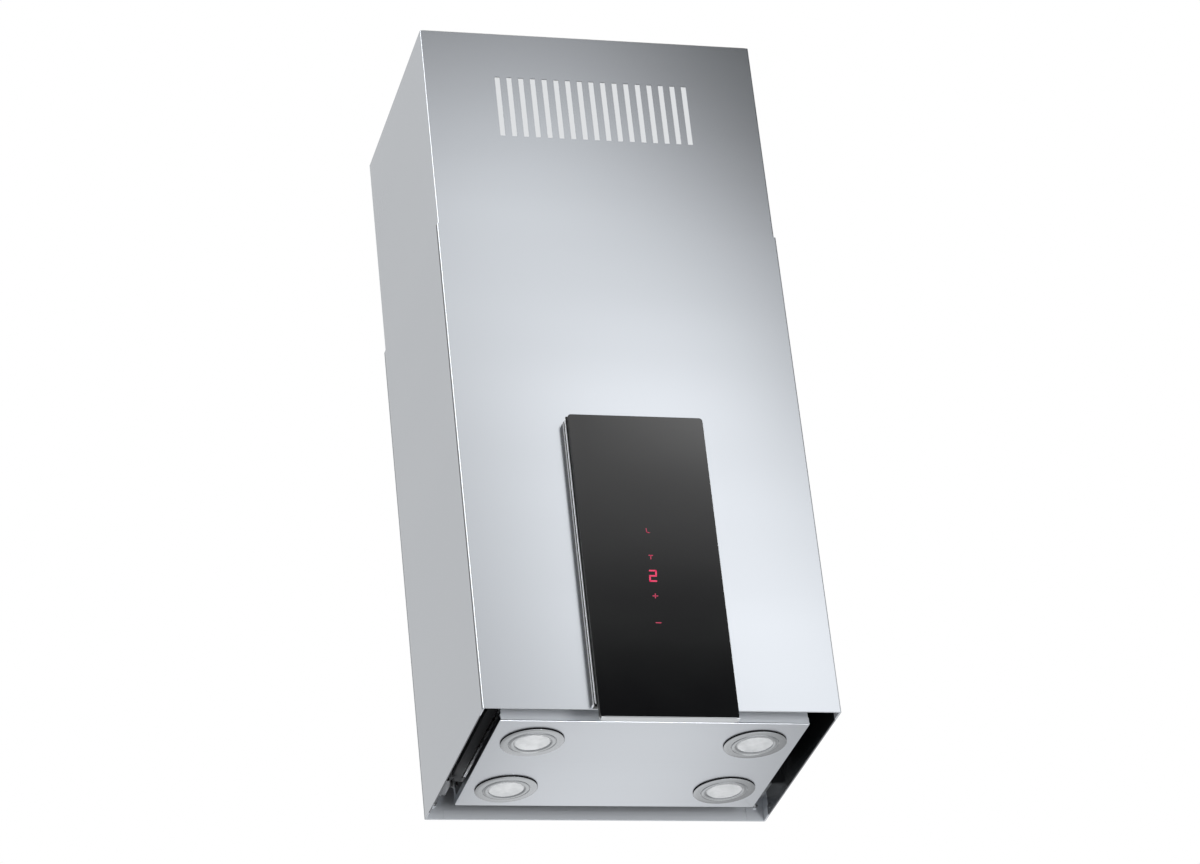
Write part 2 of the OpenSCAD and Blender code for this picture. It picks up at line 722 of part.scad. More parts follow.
module air_box() color("darkgray") at_hood() difference() {
    translate([0, box_y, 0]) {
        translate([0, 0, box_z]) linear_extrude(box_t) difference() {
            square([box_w, box_d], center = true);
            square([rim_in_w, rim_in_d], center = true);
        }
        translate([0, 0, box_z]) linear_extrude(box_h) difference() {
            square([box_w, box_d], center = true);
            square([box_w - 2 * box_t, box_d - 2 * box_t], center = true);
        }
    }
    for (sx = [-1, 1], y = [-1, 1])
        rod_x([sx > 0 ? box_w / 2 - box_t - e : -box_w / 2 - e, y * channel_screw_pitch / 2,
            channel_screw_z], screw_r + screw_gap, box_t + 2 * e);
    for (sx = [-1, 1])
        rod_x([sx > 0 ? box_w / 2 - box_t - e : -box_w / 2 - e, hinge_y, hinge_screw_z],
            screw_r + screw_gap, box_t + 2 * e);
}

module air_box_top() color("silver") at_hood() difference() {
    translate([0, box_y, box_top_z]) linear_extrude(top_t) square([box_w, box_d], center = true);
    translate([0, 0, box_top_z - e]) cylinder(h = top_t + 2 * e, r = spigot_in_r);
    for (c = CORNERS) translate([c[1] * foot_x, c[2] * foot_y[c[2] < 0 ? 0 : 1], box_top_z - e])
        cylinder(h = top_t + 2 * e, r = screw_r + screw_gap);
    for (a = [45 : 90 : 315]) translate([spigot_screw_r * cos(a), spigot_screw_r * sin(a), box_top_z - e])
        cylinder(h = top_t + 2 * e, r = screw_r + screw_gap);
}

// ---------------------------------------------------------------- suction panel and hinge

module suction_panel() color("whitesmoke") at_hood() difference() {
    union() {
        translate([0, (panel_front + panel_back) / 2, 0]) {
            linear_extrude(panel_t) round_rect(panel_w, panel_d, 1);
            linear_extrude(panel_side_h) tube_2d(panel_w, panel_d, 1.5, panel_t);
        }
        block([-panel_w / 2 + 1.5, panel_front, 0],
            [panel_w / 2 - 1.5, panel_front + panel_t, panel_front_h]);
        block([-panel_w / 2 + 1.5, panel_front, panel_front_h - panel_t],
            [panel_w / 2 - 1.5, panel_front + strike_d, panel_front_h]);
        // hinge ears at the rear of the side flanges
        for (sx = [-1, 1]) translate([sx > 0 ? panel_w / 2 - panel_t : -panel_w / 2, 0, 0])
            rotate([90, 0, 90]) linear_extrude(panel_t) {
                translate([hinge_y, hinge_z]) circle(ear_r);
                polygon([[hinge_y - ear_w / 2, panel_side_h - 1], [hinge_y + ear_w / 2, panel_side_h - 1],
                    [hinge_y + ear_r, hinge_z], [hinge_y - ear_r, hinge_z]]);
            }
    }
    rod_x([-panel_w, hinge_y, hinge_z], axis_r, 2 * panel_w);
    for (p = lamp_places) translate([p[0], p[1], -e])
        cylinder(h = panel_t + 2 * e, r = can_r + lamp_gap);
}

module hinge_bracket(sx) color("darkgray") at_hood() {
    x_in = bracket_x;
    x_box = box_w / 2;
    x_out = in_w / 2;
    shelf_y = hinge_y + 3;
    difference() {
        // drawn for the right side and mirrored for the left
        for (b = [
            [[x_in, hinge_y - 8, box_z - bracket_t], [x_box + bracket_t, shelf_y, box_z]],
            [[x_in, shelf_y, box_z - bracket_t], [x_out, shelf_y + shelf_d, box_z]],
            [[x_box, hinge_y - 8, box_z - e], [x_box + bracket_t, box_back, box_z + bracket_h]],
            [[x_out - bracket_t, shelf_y, box_z - e], [x_out, shelf_y + shelf_d, box_z + bracket_h * 0.7]],
            [[x_in, hinge_y - ear_w / 2, hinge_z], [x_in + bracket_t, hinge_y + ear_w / 2, box_z - e]]
        ])
            block([sx > 0 ? b[0][0] : -b[1][0], b[0][1], b[0][2]],
                [sx > 0 ? b[1][0] : -b[0][0], b[1][1], b[1][2]]);
        rod_x([-hood_w / 2, hinge_y, hinge_z], pin_r + press, hood_w);
        rod_x([-hood_w / 2, hinge_y, hinge_screw_z], screw_r + screw_gap, hood_w);
    }
    // the round end of the ear that holds the pin
    difference() {
        rod_x([sx > 0 ? x_in : -x_in - bracket_t, hinge_y, hinge_z], ear_w / 2, bracket_t);
        rod_x([-hood_w / 2, hinge_y, hinge_z], pin_r + press, hood_w);
        translate([-hood_w / 2, hinge_y - ear_w, hinge_z]) cube([hood_w, 2 * ear_w, ear_w]);
    }
}

module hinge_pins() color("dimgray") at_hood() for (sx = [-1, 1]) {
    x_head = bracket_x + bracket_t;
    x_end = panel_w / 2 - panel_t - 1.5;
    translate([sx > 0 ? x_head : -x_head - pin_head_h, hinge_y, hinge_z]) rotate([0, 90, 0])
        cylinder(h = pin_head_h, r = pin_head_r);
    rod_x([sx > 0 ? x_end : -x_head, hinge_y, hinge_z], pin_r, x_head - x_end);
    // the riveted end on the panel's inner side
    translate([sx > 0 ? x_end - 1 : -x_end, hinge_y, hinge_z]) rotate([0, 90, 0])
        cylinder(h = 1, r = pin_r + 0.8);
}

module panel_magnets() color("dimgray") at_hood() for (sx = [-1, 1])
    block([sx * magnet_x - magnet_l / 2, box_front + 1, panel_front_h + magnet_gap],
        [sx * magnet_x + magnet_l / 2, box_front + 1 + magnet_w, box_z]);

// ---------------------------------------------------------------- lamps

module lamp_housing(i) color("silver") at_hood() translate([lamp_places[i][0], lamp_places[i][1], 0])
    rotate_extrude() {
        // bezel with a rounded edge
        polygon([
            [lens_ring_r + ring_gap, -bezel_h + 0.2], [lens_ring_r + ring_gap + 0.2, -bezel_h],
            [bezel_r - 1, -bezel_h], [bezel_r - 0.3, -bezel_h + 0.3],
            [bezel_r, -bezel_h + 1], [bezel_r, 0], [can_r - can_t, 0], [can_r - can_t, -bezel_h + can_t],
            [lens_ring_r + ring_gap, -bezel_h + can_t]
        ]);
        // retaining ring round the lens, and the ledge behind it
        polygon([
            [lens_r + lamp_gap, -bezel_h], [lens_r + lamp_gap + 0.3, -bezel_h - 0.2],
            [lens_ring_r - 0.4, -bezel_h - 0.2], [lens_ring_r, -bezel_h + 0.2],
            [lens_ring_r, -bezel_h + can_t], [can_r - can_t, -bezel_h + can_t],
            [can_r - can_t, 1.4], [lens_ring_r - 0.4, 1.4],
            [lens_ring_r - 0.4, -bezel_h + can_t], [lens_r + lamp_gap, -bezel_h + can_t]
        ]);
        // body
        polygon([
            [can_r - can_t, 0], [can_r, 0], [can_r, can_h - 4], [can_r - 4, can_h], [0, can_h],
            [0, can_h - can_t], [can_r - 4.4, can_h - can_t], [can_r - can_t, can_h - 4.4]
        ]);
    }

module lamp_lens(i) color("white") at_hood() translate([lamp_places[i][0], lamp_places[i][1], 0])
    rotate_extrude() polygon([
        [0, -bezel_h + 0.1], [lens_r - 1, -bezel_h + 0.3], [lens_r, -bezel_h + 0.8],
        [lens_r, -bezel_h + can_t], [lens_ring_r - 1, -bezel_h + can_t],
        [lens_ring_r - 1, -bezel_h + can_t + lens_t / 2], [0, -bezel_h + can_t + lens_t / 2]
    ]);

module lamp_clips() color("gray") at_hood() for (p = lamp_places, s = [-1, 1])
    translate([p[0], p[1] - clip_w / 2, 0]) rotate([90, 0, 180]) mirror([s > 0 ? 1 : 0, 0, 0])
        linear_extrude(clip_w) polygon([
            [can_r, clip_h], [can_r, clip_h * 0.6], [can_r + clip_t, clip_h * 0.6],
            [can_r + clip_t, clip_h - 0.5], [can_r + clip_reach - 2, panel_t + clip_t],
            [can_r + clip_reach - 1.5, panel_t], [can_r + clip_reach, panel_t],
            [can_r + clip_t + 0.4, clip_h]
        ]);

// ---------------------------------------------------------------- grease filter

module filter_frame() color("gainsboro") at_hood() difference() {
    union() {
        translate([0, box_y, box_z]) linear_extrude(filter_t) difference() {
            square([filter_w, filter_d], center = true);
            square([filter_w - 2 * filter_band, filter_d - 2 * filter_band], center = true);
        }
        // block behind the front bar that houses the latch
        block([-latch_w / 2 - 8, filter_front, box_z], [latch_w / 2 + 8, handle_back, box_z + filter_t]);
        // tabs that rest on the rim at the rear
        for (x = [-1, 1]) block([x * filter_w / 3 - 12, filter_back - e, rim_top_z],
            [x * filter_w / 3 + 12, filter_back + filter_gap + 5, rim_top_z + 2]);
    }
    // the latch's pocket, open below, and the slot for its tongue
    block([-latch_w / 2 - latch_gap, latch_front - latch_gap, box_z - e],
        [latch_w / 2 + latch_gap, latch_back + latch_travel + 1, box_z + latch_t + latch_gap]);
    block([-tongue_w / 2 - latch_gap, filter_front - e, rim_top_z - latch_gap],
        [tongue_w / 2 + latch_gap, latch_front, box_z + latch_t + latch_gap]);
    // the spring's pocket
    block([-spring_r - latch_gap, latch_back, box_z + 0.8],
        [spring_r + latch_gap, latch_back + spring_l, box_z + 0.8 + 2 * spring_r + 2 * latch_gap]);
}

// Pleated mesh that fills the frame.
module filter_mesh() color("lightgray") at_hood() difference() {
    w = filter_w - 2 * filter_band;
    d = filter_d - 2 * filter_band;
    p = w / pleat_n;
    rise = filter_t - 2 - mesh_t;
    under = [for (i = [0 : 2 * pleat_n]) [-w / 2 + i * p / 2, i % 2 == 0 ? 0 : rise]];
    over = [for (i = [2 * pleat_n : -1 : 0]) [-w / 2 + i * p / 2, mesh_t + (i % 2 == 0 ? 0 : rise)]];
    translate([0, box_y + d / 2, box_z + 1]) rotate([90, 0, 0]) linear_extrude(d)
        polygon(concat(under, over));
    block([-latch_w / 2 - 8, filter_front, box_z - e],
        [latch_w / 2 + 8, handle_back, box_z + filter_t + e]);
}

module filter_latch() color("dimgray") at_hood() difference() {
    union() {
        block([-latch_w / 2, latch_front, box_z], [latch_w / 2, latch_back, box_z + latch_t]);
        block([-tongue_w / 2, box_front + rim_w - 4.5, rim_top_z + 0.2],
            [tongue_w / 2, latch_front + e, box_z + latch_t]);
    }
    // finger scoop, open below
    block([-latch_w / 2 + 3, latch_front + 4, box_z - e],
        [latch_w / 2 - 3, latch_back - 4, box_z + latch_t - 1]);
}

// Outer shape of the latch's coil spring.
module latch_spring() color("silver") at_hood()
    translate([0, latch_back, box_z + 0.8 + latch_gap + spring_r]) rotate([-90, 0, 0])
        rotate_extrude() {
            p = spring_l / spring_n;
            polygon(concat([[0.4, 0]],
                [for (i = [0 : 2 * spring_n]) [i % 2 == 0 ? spring_r - 0.5 : spring_r, i * p / 2]],
                [[0.4, spring_l]]));
        }

// ---------------------------------------------------------------- blower

function scroll_r(a) = scroll_r0 + (scroll_r1 - scroll_r0) * (a - tongue_a) / (360 - tongue_a);

// Spiral with a straight outlet, drawn in the plane across the axis; t grows it outwards.
module scroll_2d(t) {
    a0 = acos((tongue_x - t) / (scroll_r0 + t));
    steps = 48;
    polygon(concat(
        [for (i = [0 : steps]) let (a = a0 + (360 - a0) * i / steps)
            (scroll_r(a) + t) * [cos(a), sin(a)]],
        [[scroll_r1 + t, scroll_top], [tongue_x - t, scroll_top]]
    ));
}

// Places a piece on the blower's axis, with +Z of the child along -Y of the hood.
module at_blower() { at_hood() translate([blower_x, 0, blower_z]) rotate([90, 0, 0]) children(); }

// Half of the scroll: the wall, the side plate with its inlet, and the outlet's flange.
module scroll_half() {
    depth = scroll_w / 2;
    difference() {
        union() {
            linear_extrude(depth) scroll_2d(scroll_t);
            translate([tongue_x - scroll_t - outlet_band, scroll_top - scroll_t, 0])
                cube([scroll_r1 - tongue_x + 2 * (scroll_t + outlet_band), scroll_t, depth + outlet_band]);
        }
        translate([0, 0, -e]) linear_extrude(depth - scroll_t + e) scroll_2d(0);
        translate([tongue_x, scroll_top - 5, -e])
            cube([scroll_r1 - tongue_x, 5 + e, depth - scroll_t + e]);
        translate([0, 0, depth - scroll_t - e]) cylinder(h = scroll_t + 2 * e, r = inlet_r);
    }
    // bell mouth of the inlet
    translate([0, 0, depth - 5]) linear_extrude(5) difference() {
        circle(inlet_r + scroll_t);
        circle(inlet_r);
    }
}

module scroll_front() color("lightgray") at_blower() difference() {
    scroll_half();
    for (a = arm_as) translate([arm_r * cos(a), arm_r * sin(a), scroll_w / 2 - scroll_t - e])
        cylinder(h = scroll_t + 2 * e, r = screw_r + screw_gap);
}

module scroll_back() color("lightgray") at_blower() mirror([0, 0, 1]) scroll_half();

// One forward-curved blade, as a thin bent strip between the inner and outer radius.
module blade_2d() {
    n = 5;
    function at(i, side) = let (
        r = blade_in_r + 0.5 + (impeller_r - blade_in_r - 1) * i / n,
        a = blade_sweep * pow(i / n, 2) + side * blade_t / 2 / r * 180 / PI
    ) r * [cos(a), sin(a)];
    polygon(concat([for (i = [0 : n]) at(i, -1)], [for (i = [n : -1 : 0]) at(i, 1)]));
}

module impeller() color("gainsboro") at_blower() {
    for (z = [-impeller_w / 2, impeller_w / 2 - ring_t]) translate([0, 0, z])
        linear_extrude(ring_t) difference() {
            circle(impeller_r + 0.5);
            circle(blade_in_r - 1);
        }
    difference() {
        union() {
            translate([0, 0, -disc_t / 2]) cylinder(h = disc_t, r = impeller_r);
            translate([0, 0, -disc_t / 2 - hub_l]) cylinder(h = hub_l + disc_t * 1.5, r = hub_r);
        }
        translate([0, 0, -disc_t - hub_l]) cylinder(h = 2 * (disc_t + hub_l), r = shaft_r + press);
    }
    for (i = [0 : blade_n - 1]) rotate([0, 0, i * 360 / blade_n])
        translate([0, 0, -impeller_w / 2 + 0.5]) linear_extrude(impeller_w - 1) blade_2d();
}

module motor_shaft() color("silver") at_blower()
    translate([0, 0, -disc_t / 2 - hub_l])
        cylinder(h = disc_t / 2 + hub_l + motor_gap + motor_l - 8, r = shaft_r);

module motor() color("dimgray") at_blower() rotate_extrude() {
    z0 = motor_gap;
    z1 = motor_gap + motor_l;
    polygon([
        [shaft_r + run_gap, z0], [hub_r, z0], [hub_r, z0 + 3], [motor_r - 6, z0 + 3],
        [motor_r, z0 + 9], [motor_r, z1 - 9], [motor_r - 6, z1 - 3], [hub_r, z1 - 3],
        [hub_r, z1], [0, z1], [0, z1 - 6], [shaft_r + run_gap, z1 - 6]
    ]);
}

module motor_mount() color("gray") at_blower() translate([0, 0, scroll_w / 2 + grommet_t]) difference() {
    union() {
        cylinder(h = 8, r = motor_r + 2.5);
        for (a = arm_as) rotate([0, 0, a]) {
            translate([motor_r, -6, 0]) cube([arm_r - motor_r, 12, arm_t]);
            translate([arm_r, 0, 0]) cylinder(h = arm_t, r = 8);
        }
    }
    translate([0, 0, -e]) cylinder(h = 8 + 2 * e, r = motor_r + press);
    for (a = arm_as) rotate([0, 0, a]) translate([arm_r, 0, -e])
        cylinder(h = arm_t + 2 * e, r = screw_r + screw_gap);
}

module motor_grommets() color("black") at_blower() for (a = arm_as)
    translate([arm_r * cos(a), arm_r * sin(a), scroll_w / 2]) rotate_extrude() polygon([
        [screw_r + screw_gap, 0], [grommet_r, 0], [grommet_r, grommet_t * 0.3],
        [grommet_r - 1.5, grommet_t * 0.5], [grommet_r, grommet_t * 0.7], [grommet_r, grommet_t],
        [screw_r + screw_gap, grommet_t]
    ]);

module capacitor() color("white") at_hood()
    translate([capacitor_x, capacitor_y, box_top_z - capacitor_l]) rotate_extrude() polygon([
        [0, 0], [capacitor_r - 2, 0], [capacitor_r, 2], [capacitor_r, capacitor_l - 6],
        [capacitor_r - 1.5, capacitor_l - 5], [capacitor_r - 1.5, capacitor_l - 4],
        [capacitor_r, capacitor_l - 3], [capacitor_r, capacitor_l], [0, capacitor_l]
    ]);

// ---------------------------------------------------------------- duct outlet

module duct_spigot() color("dimgray") at_hood() difference() {
    union() {
        translate([0, 0, plate_top_z]) rotate_extrude() polygon([
            [spigot_in_r - stop_w, 0], [spigot_flange_r, 0], [spigot_flange_r, spigot_flange_t],
            [spigot_r, spigot_flange_t], [spigot_r, spigot_h - 2], [spigot_r - 0.7, spigot_h],
            [spigot_in_r, spigot_h], [spigot_in_r, stop_h], [spigot_in_r - stop_w, stop_h]
        ]);
        // bar across the middle, on which both flaps rest
        translate([-3, -spigot_in_r - 1, plate_top_z]) cube([6, 2 * spigot_in_r + 2, stop_h - 3]);
    }
    for (s = [-1, 1]) rod_y([s * flap_pin_pitch / 2, -spigot_r - e, flap_z], flap_pin_r + press,
        2 * spigot_r + 2 * e);
    for (a = [45 : 90 : 315])
        translate([spigot_screw_r * cos(a), spigot_screw_r * sin(a), plate_top_z - e])
            cylinder(h = spigot_flange_t + 2 * e, r = screw_r + screw_gap);
}

module flap_pins() color("silver") at_hood() for (s = [-1, 1])
    rod_y([s * flap_pin_pitch / 2, -spigot_r, flap_z], flap_pin_r, 2 * spigot_r);

module damper_flap(sx) color("gray") at_hood() difference() {
    union() {
        intersection() {
            translate([0, 0, flap_z - knuckle_r]) cylinder(h = flap_t, r = flap_r);
            translate([sx * (flap_pin_pitch / 2 + flap_r), 0, flap_z])
                cube([2 * flap_r, 2 * flap_r, 4 * knuckle_r], center = true);
        }
        for (y = [-knuckle_y, knuckle_y - knuckle_l])
            rod_y([sx * flap_pin_pitch / 2, y, flap_z], knuckle_r, knuckle_l);
    }
    rod_y([sx * flap_pin_pitch / 2, -spigot_r, flap_z], flap_pin_r + run_gap, 2 * spigot_r);
}

// ---------------------------------------------------------------- control

// A rectangle with round corners in the XZ plane, from z0 up, as a plate of thickness t.
module face_plate(w, z0, h, r, y, t) {
    translate([0, y, z0 + h / 2]) rotate([90, 0, 0]) linear_extrude(t) round_rect(w, h, r);
}

module control_base() color("silver") at_hood() difference() {
    face_plate(control_w, 0, control_h, glass_r, control_y, control_base_t);
    face_plate(control_w - 2 * pocket_inset, pocket_inset, control_h - 2 * pocket_inset,
        glass_r, control_y - base_back_t, control_base_t);
    rod_y([0, control_y - base_back_t - e, board_z], cable_hole_r, base_back_t + 2 * e);
    for (x = [-1, 1], z = control_screw_zs)
        rod_y([x * control_screw_x, control_y - control_base_t - e, z], screw_r + screw_gap,
            control_base_t + 2 * e);
}

module control_spacer() color("black") at_hood() difference() {
    face_plate(control_w - 2 * spacer_inset, spacer_inset, control_h - 2 * spacer_inset,
        glass_r, spacer_y, spacer_t);
    face_plate(control_w - 2 * pocket_inset, pocket_inset, control_h - 2 * pocket_inset,
        glass_r, spacer_y + e, spacer_t + 2 * e);
}

// Sheet behind the glass, with a window for the touch board and a ledge under the glass.
module glass_carrier() color("lightgray") at_hood() difference() {
    union() {
        face_plate(glass_w - 1, -glass_drop, glass_h, glass_r, carrier_y, carrier_t);
        block([-glass_w / 2 + glass_r, carrier_y - ledge_d, -glass_drop - ledge_t],
            [glass_w / 2 - glass_r, carrier_y, -glass_drop]);
    }
    face_plate(board_w + 2, board_z - board_h / 2 - 1, board_h + 2, 1, carrier_y + e, carrier_t + 2 * e);
}

module control_glass() color([0.05, 0.05, 0.06]) at_hood()
    face_plate(glass_w, -glass_drop, glass_h, glass_r, glass_y, glass_t);

module touch_board() color("darkgreen") at_hood() {
    face_plate(board_w, board_z - board_h / 2, board_h, 0.5, glass_y + board_t, board_t);
    // display and connector on the board's back
    back = glass_y + board_t - e;
    low = board_z - display_w / 2 - 40;
    block([-display_w / 2, back, board_z - display_w / 2],
        [display_w / 2, back + 3.4, board_z + display_w / 2]);
    block([-connector_w / 2, back, low], [connector_w / 2, back + 4.4, low + connector_h]);
}

// ---------------------------------------------------------------- electrics on the air box

module terminal_box() color("dimgray") at_hood() difference() {
    block([terminal_x, terminal_y, plate_top_z],
        [terminal_x + terminal_w, terminal_y + terminal_d, plate_top_z + terminal_h]);
    block([terminal_x + terminal_t, terminal_y + terminal_t, plate_top_z + terminal_t],
        [terminal_x + terminal_w - terminal_t, terminal_y + terminal_d - terminal_t,
            plate_top_z + terminal_h + e]);
    rod_y([terminal_x + terminal_w / 2, terminal_y + terminal_d - terminal_t - e,
        plate_top_z + terminal_h / 2], gland_r - 2, terminal_t + 2 * e);
}

module terminal_lid() color("gray") at_hood() {
    z = plate_top_z + terminal_h;
    block([terminal_x, terminal_y, z], [terminal_x + terminal_w, terminal_y + terminal_d, z + 2]);
    translate([terminal_x + terminal_w / 2, terminal_y + terminal_d / 2, z - 2])
        linear_extrude(2 + e) tube_2d(terminal_w - 2 * terminal_t - 0.4,
            terminal_d - 2 * terminal_t - 0.4, 2, 1.5);
}

module cable_gland() color("black") at_hood()
    translate([terminal_x + terminal_w / 2, terminal_y + terminal_d, plate_top_z + terminal_h / 2])
        rotate([-90, 0, 0]) difference() {
            union() {
                translate([0, 0, -terminal_t - 6]) cylinder(h = terminal_t + 6 + e, r = gland_r - 2.1);
                cylinder(h = 4, r = gland_r + 1, $fn = 6);
                translate([0, 0, 4 - e]) cylinder(h = 10, r = gland_r - 1);
            }
            translate([0, 0, -terminal_t - 6 - e]) cylinder(h = terminal_t + 6 + 14 + 3 * e, r = cable_r);
        }

module lamp_driver() color("white") at_hood() {
    block([driver_x, driver_y, plate_top_z],
        [driver_x + driver_w, driver_y + driver_l, plate_top_z + driver_h]);
    // the feet that are screwed down
    for (y = [driver_y - 8, driver_y + driver_l])
        block([driver_x + driver_w * 0.3, y - e, plate_top_z],
            [driver_x + driver_w * 0.7, y + 8 + e, plate_top_z + 3]);
}

// ---------------------------------------------------------------- screws on the hood

module hood_screws() color("silver") at_hood() {
    // studs and nuts that hold the casing's panels to the side flanges
    for (c = CORNERS, z = casing_screw_zs)
        translate([c[1] * casing_screw_x, c[2] * in_d / 2, z]) rotate([90 * c[2], 0, 0]) {
            cylinder(h = 6, r = screw_r);
            translate([0, 0, sheet_t]) cylinder(h = 3, r = screw_head_r, $fn = 6);
        }
    // posts' feet and the spigot, from above
    for (c = CORNERS) translate([c[1] * foot_x, c[2] * foot_y[c[2] < 0 ? 0 : 1], plate_top_z + post_t])
        screw(post_t + top_t + screw_tail);
    for (a = [45 : 90 : 315])
        translate([spigot_screw_r * cos(a), spigot_screw_r * sin(a), plate_top_z + spigot_flange_t])
            screw(spigot_flange_t + top_t + screw_tail);
    // channels and hinge brackets, into the air box
    for (sx = [-1, 1], at = [[-channel_screw_pitch / 2, channel_screw_z],
        [channel_screw_pitch / 2, channel_screw_z], [hinge_y, hinge_screw_z]])
        translate([sx * (box_w / 2 + bracket_t), at[0], at[1]])
            rotate([0, 90 * sx, 0]) screw(bracket_t + box_t + screw_tail);
    // the motor's arms
    for (a = arm_as) translate([blower_x + arm_r * cos(a), arm_y - arm_t, blower_z + arm_r * sin(a)])
        rotate([90, 0, 0]) screw(arm_t + grommet_t + scroll_t + screw_tail);
    // the control's base, from the front
    for (x = [-1, 1], z = control_screw_zs)
        translate([x * control_screw_x, control_y - base_back_t, z]) rotate([90, 0, 0])
            screw(base_back_t + sheet_t + screw_tail);
}

// ---------------------------------------------------------------- nodes

ceiling_frame();
chimney();
frame_screws();
for (c = CORNERS) {
    upper_post(c[1], c[2]);
    lower_post(c[1], c[2]);
}
clamp_bolts();
casing_front();
casing_back();
for (s = SIDES) {
    casing_side(s[1]);
    casing_bracket(s[1]);
    hinge_bracket(s[1]);
    damper_flap(s[1]);
}
hood_screws();
air_box();
air_box_top();
suction_panel();
hinge_pins();
panel_magnets();
for (i = [0 : 3]) {
    lamp_housing(i);
    lamp_lens(i);
}
lamp_clips();
filter_frame();
filter_mesh();
filter_latch();
latch_spring();
scroll_front();
scroll_back();
impeller();
motor_shaft();
motor();
motor_mount();
motor_grommets();
capacitor();
duct_spigot();
flap_pins();
control_base();
control_spacer();
glass_carrier();
control_glass();
touch_board();
terminal_box();
terminal_lid();
cable_gland();
lamp_driver();
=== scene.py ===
import math

import bmesh
import bpy
import numpy as np
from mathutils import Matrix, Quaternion, Vector


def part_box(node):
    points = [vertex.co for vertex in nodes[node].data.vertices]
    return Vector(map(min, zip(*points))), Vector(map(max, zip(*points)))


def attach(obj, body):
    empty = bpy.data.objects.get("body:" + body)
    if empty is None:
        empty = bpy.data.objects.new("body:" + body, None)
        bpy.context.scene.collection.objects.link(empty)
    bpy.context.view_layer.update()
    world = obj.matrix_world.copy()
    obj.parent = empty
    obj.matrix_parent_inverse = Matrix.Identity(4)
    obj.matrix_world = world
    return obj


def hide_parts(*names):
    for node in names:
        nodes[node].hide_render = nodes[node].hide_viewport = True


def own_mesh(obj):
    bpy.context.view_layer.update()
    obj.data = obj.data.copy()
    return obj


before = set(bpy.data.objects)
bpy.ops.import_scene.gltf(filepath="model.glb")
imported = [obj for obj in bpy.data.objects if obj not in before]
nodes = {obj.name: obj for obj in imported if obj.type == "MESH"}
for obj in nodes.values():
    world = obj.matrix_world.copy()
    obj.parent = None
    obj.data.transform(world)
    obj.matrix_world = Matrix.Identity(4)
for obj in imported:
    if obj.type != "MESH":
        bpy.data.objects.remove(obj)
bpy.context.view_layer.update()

# ---------------------------------------------------------------- viewpoint
# The hood is seen from below and from its left, as by someone who stands in the kitchen with a
# long lens. The camera is tilted a little about its own axis, so the hood leans in the picture.
camera_place = Vector((-1.23983, -4.04316, -2.66901))
looks_at = Vector((-0.03693, -0.15, -0.52466))
tilt = math.radians(-6.4415)
camera = bpy.data.objects.new("camera", bpy.data.cameras.new("camera"))
camera.data.sensor_width = 36
camera.data.lens = 124.747
camera.location = camera_place
camera.rotation_mode = "QUATERNION"
aim = (looks_at - camera_place).to_track_quat("-Z", "Y")
camera.rotation_quaternion = aim @ Quaternion((0, 0, 1), tilt)
bpy.context.scene.collection.objects.link(camera)
bpy.context.scene.camera = camera

# ---------------------------------------------------------------- studio
# A white room with a pale floor far below the hood. Steel and glass need something to mirror,
# so feathered cards that only reflections meet stand round the hood, as in a product studio.
bpy.context.scene.view_settings.view_transform = "Standard"


def link(tree, source, target):
    """Joins an output socket to an input socket."""
    tree.links.new(source, target)


def add(tree, kind, **inputs):
    """A node of that kind. Its inputs are constants or other nodes' outputs, each given by the
    input's name, with _ for a space, or by i and the input's number."""
    node = tree.nodes.new("ShaderNode" + kind)
    for name, value in inputs.items():
        numbered = name[1:].isdigit()
        socket = node.inputs[int(name[1:]) if numbered else name.replace("_", " ")]
        if isinstance(value, bpy.types.NodeSocket):
            link(tree, value, socket)
        else:
            socket.default_value = value
    return node


def arithmetic(tree, operation, a, b=0.0, c=0.0):
    """One step of arithmetic on sockets or numbers."""
    node = add(tree, "Math", i0=a, i1=b, i2=c)
    node.operation = operation
    return node.outputs[0]


def all_of(tree, operation, *values):
    """One operation carried through any number of sockets or numbers."""
    total = values[0]
    for value in values[1:]:
        total = arithmetic(tree, operation, total, value)
    return total


def ramp(tree, value, *stops):
    """A colour ramp over value, with stops of (place, grey or colour)."""
    node = add(tree, "ValToRGB", Fac=value)
    node.color_ramp.interpolation = "CARDINAL"
    while len(node.color_ramp.elements) < len(stops):
        node.color_ramp.elements.new(0.5)
    for element, (place, tone) in zip(node.color_ramp.elements, stops):
        element.position = place
        element.color = (*tone, 1) if hasattr(tone, "__len__") else (tone, tone, tone, 1)
    return node.outputs[0]


def object_axes(tree):
    """The three Object coordinates as separate sockets."""
    return add(tree, "SeparateXYZ", Vector=add(tree, "TexCoord").outputs["Object"]).outputs


def along(tree, axis, low, high, start=0.0, end=1.0, smooth=False):
    """Goes from start to end while a coordinate goes from low to high, and stays there beyond."""
    node = add(tree, "MapRange", Value=axis, From_Min=low, From_Max=high, To_Min=start, To_Max=end)
    node.interpolation_type = "SMOOTHSTEP" if smooth else "LINEAR"
    return node.outputs[0]


def empty_paint(name):
    """A new material with an empty node tree, and that tree."""
    material = bpy.data.materials.new(name)
    material.use_nodes = True
    material.node_tree.nodes.clear()
    return material, material.node_tree


def new_piece(name, points, faces, material, crease=None):
    """A mesh piece in the scene. With a crease, in degrees, it is shaded smooth between the edges
    that are sharper."""
    mesh = bpy.data.meshes.new(name)
    mesh.from_pydata([tuple(p) for p in points], [], faces)
    if crease is not None:
        mesh.shade_smooth()
        mesh.set_sharp_from_angle(angle=math.radians(crease))
    mesh.materials.append(material)
    piece = bpy.data.objects.new(name, mesh)
    bpy.context.scene.collection.objects.link(piece)
    return piece


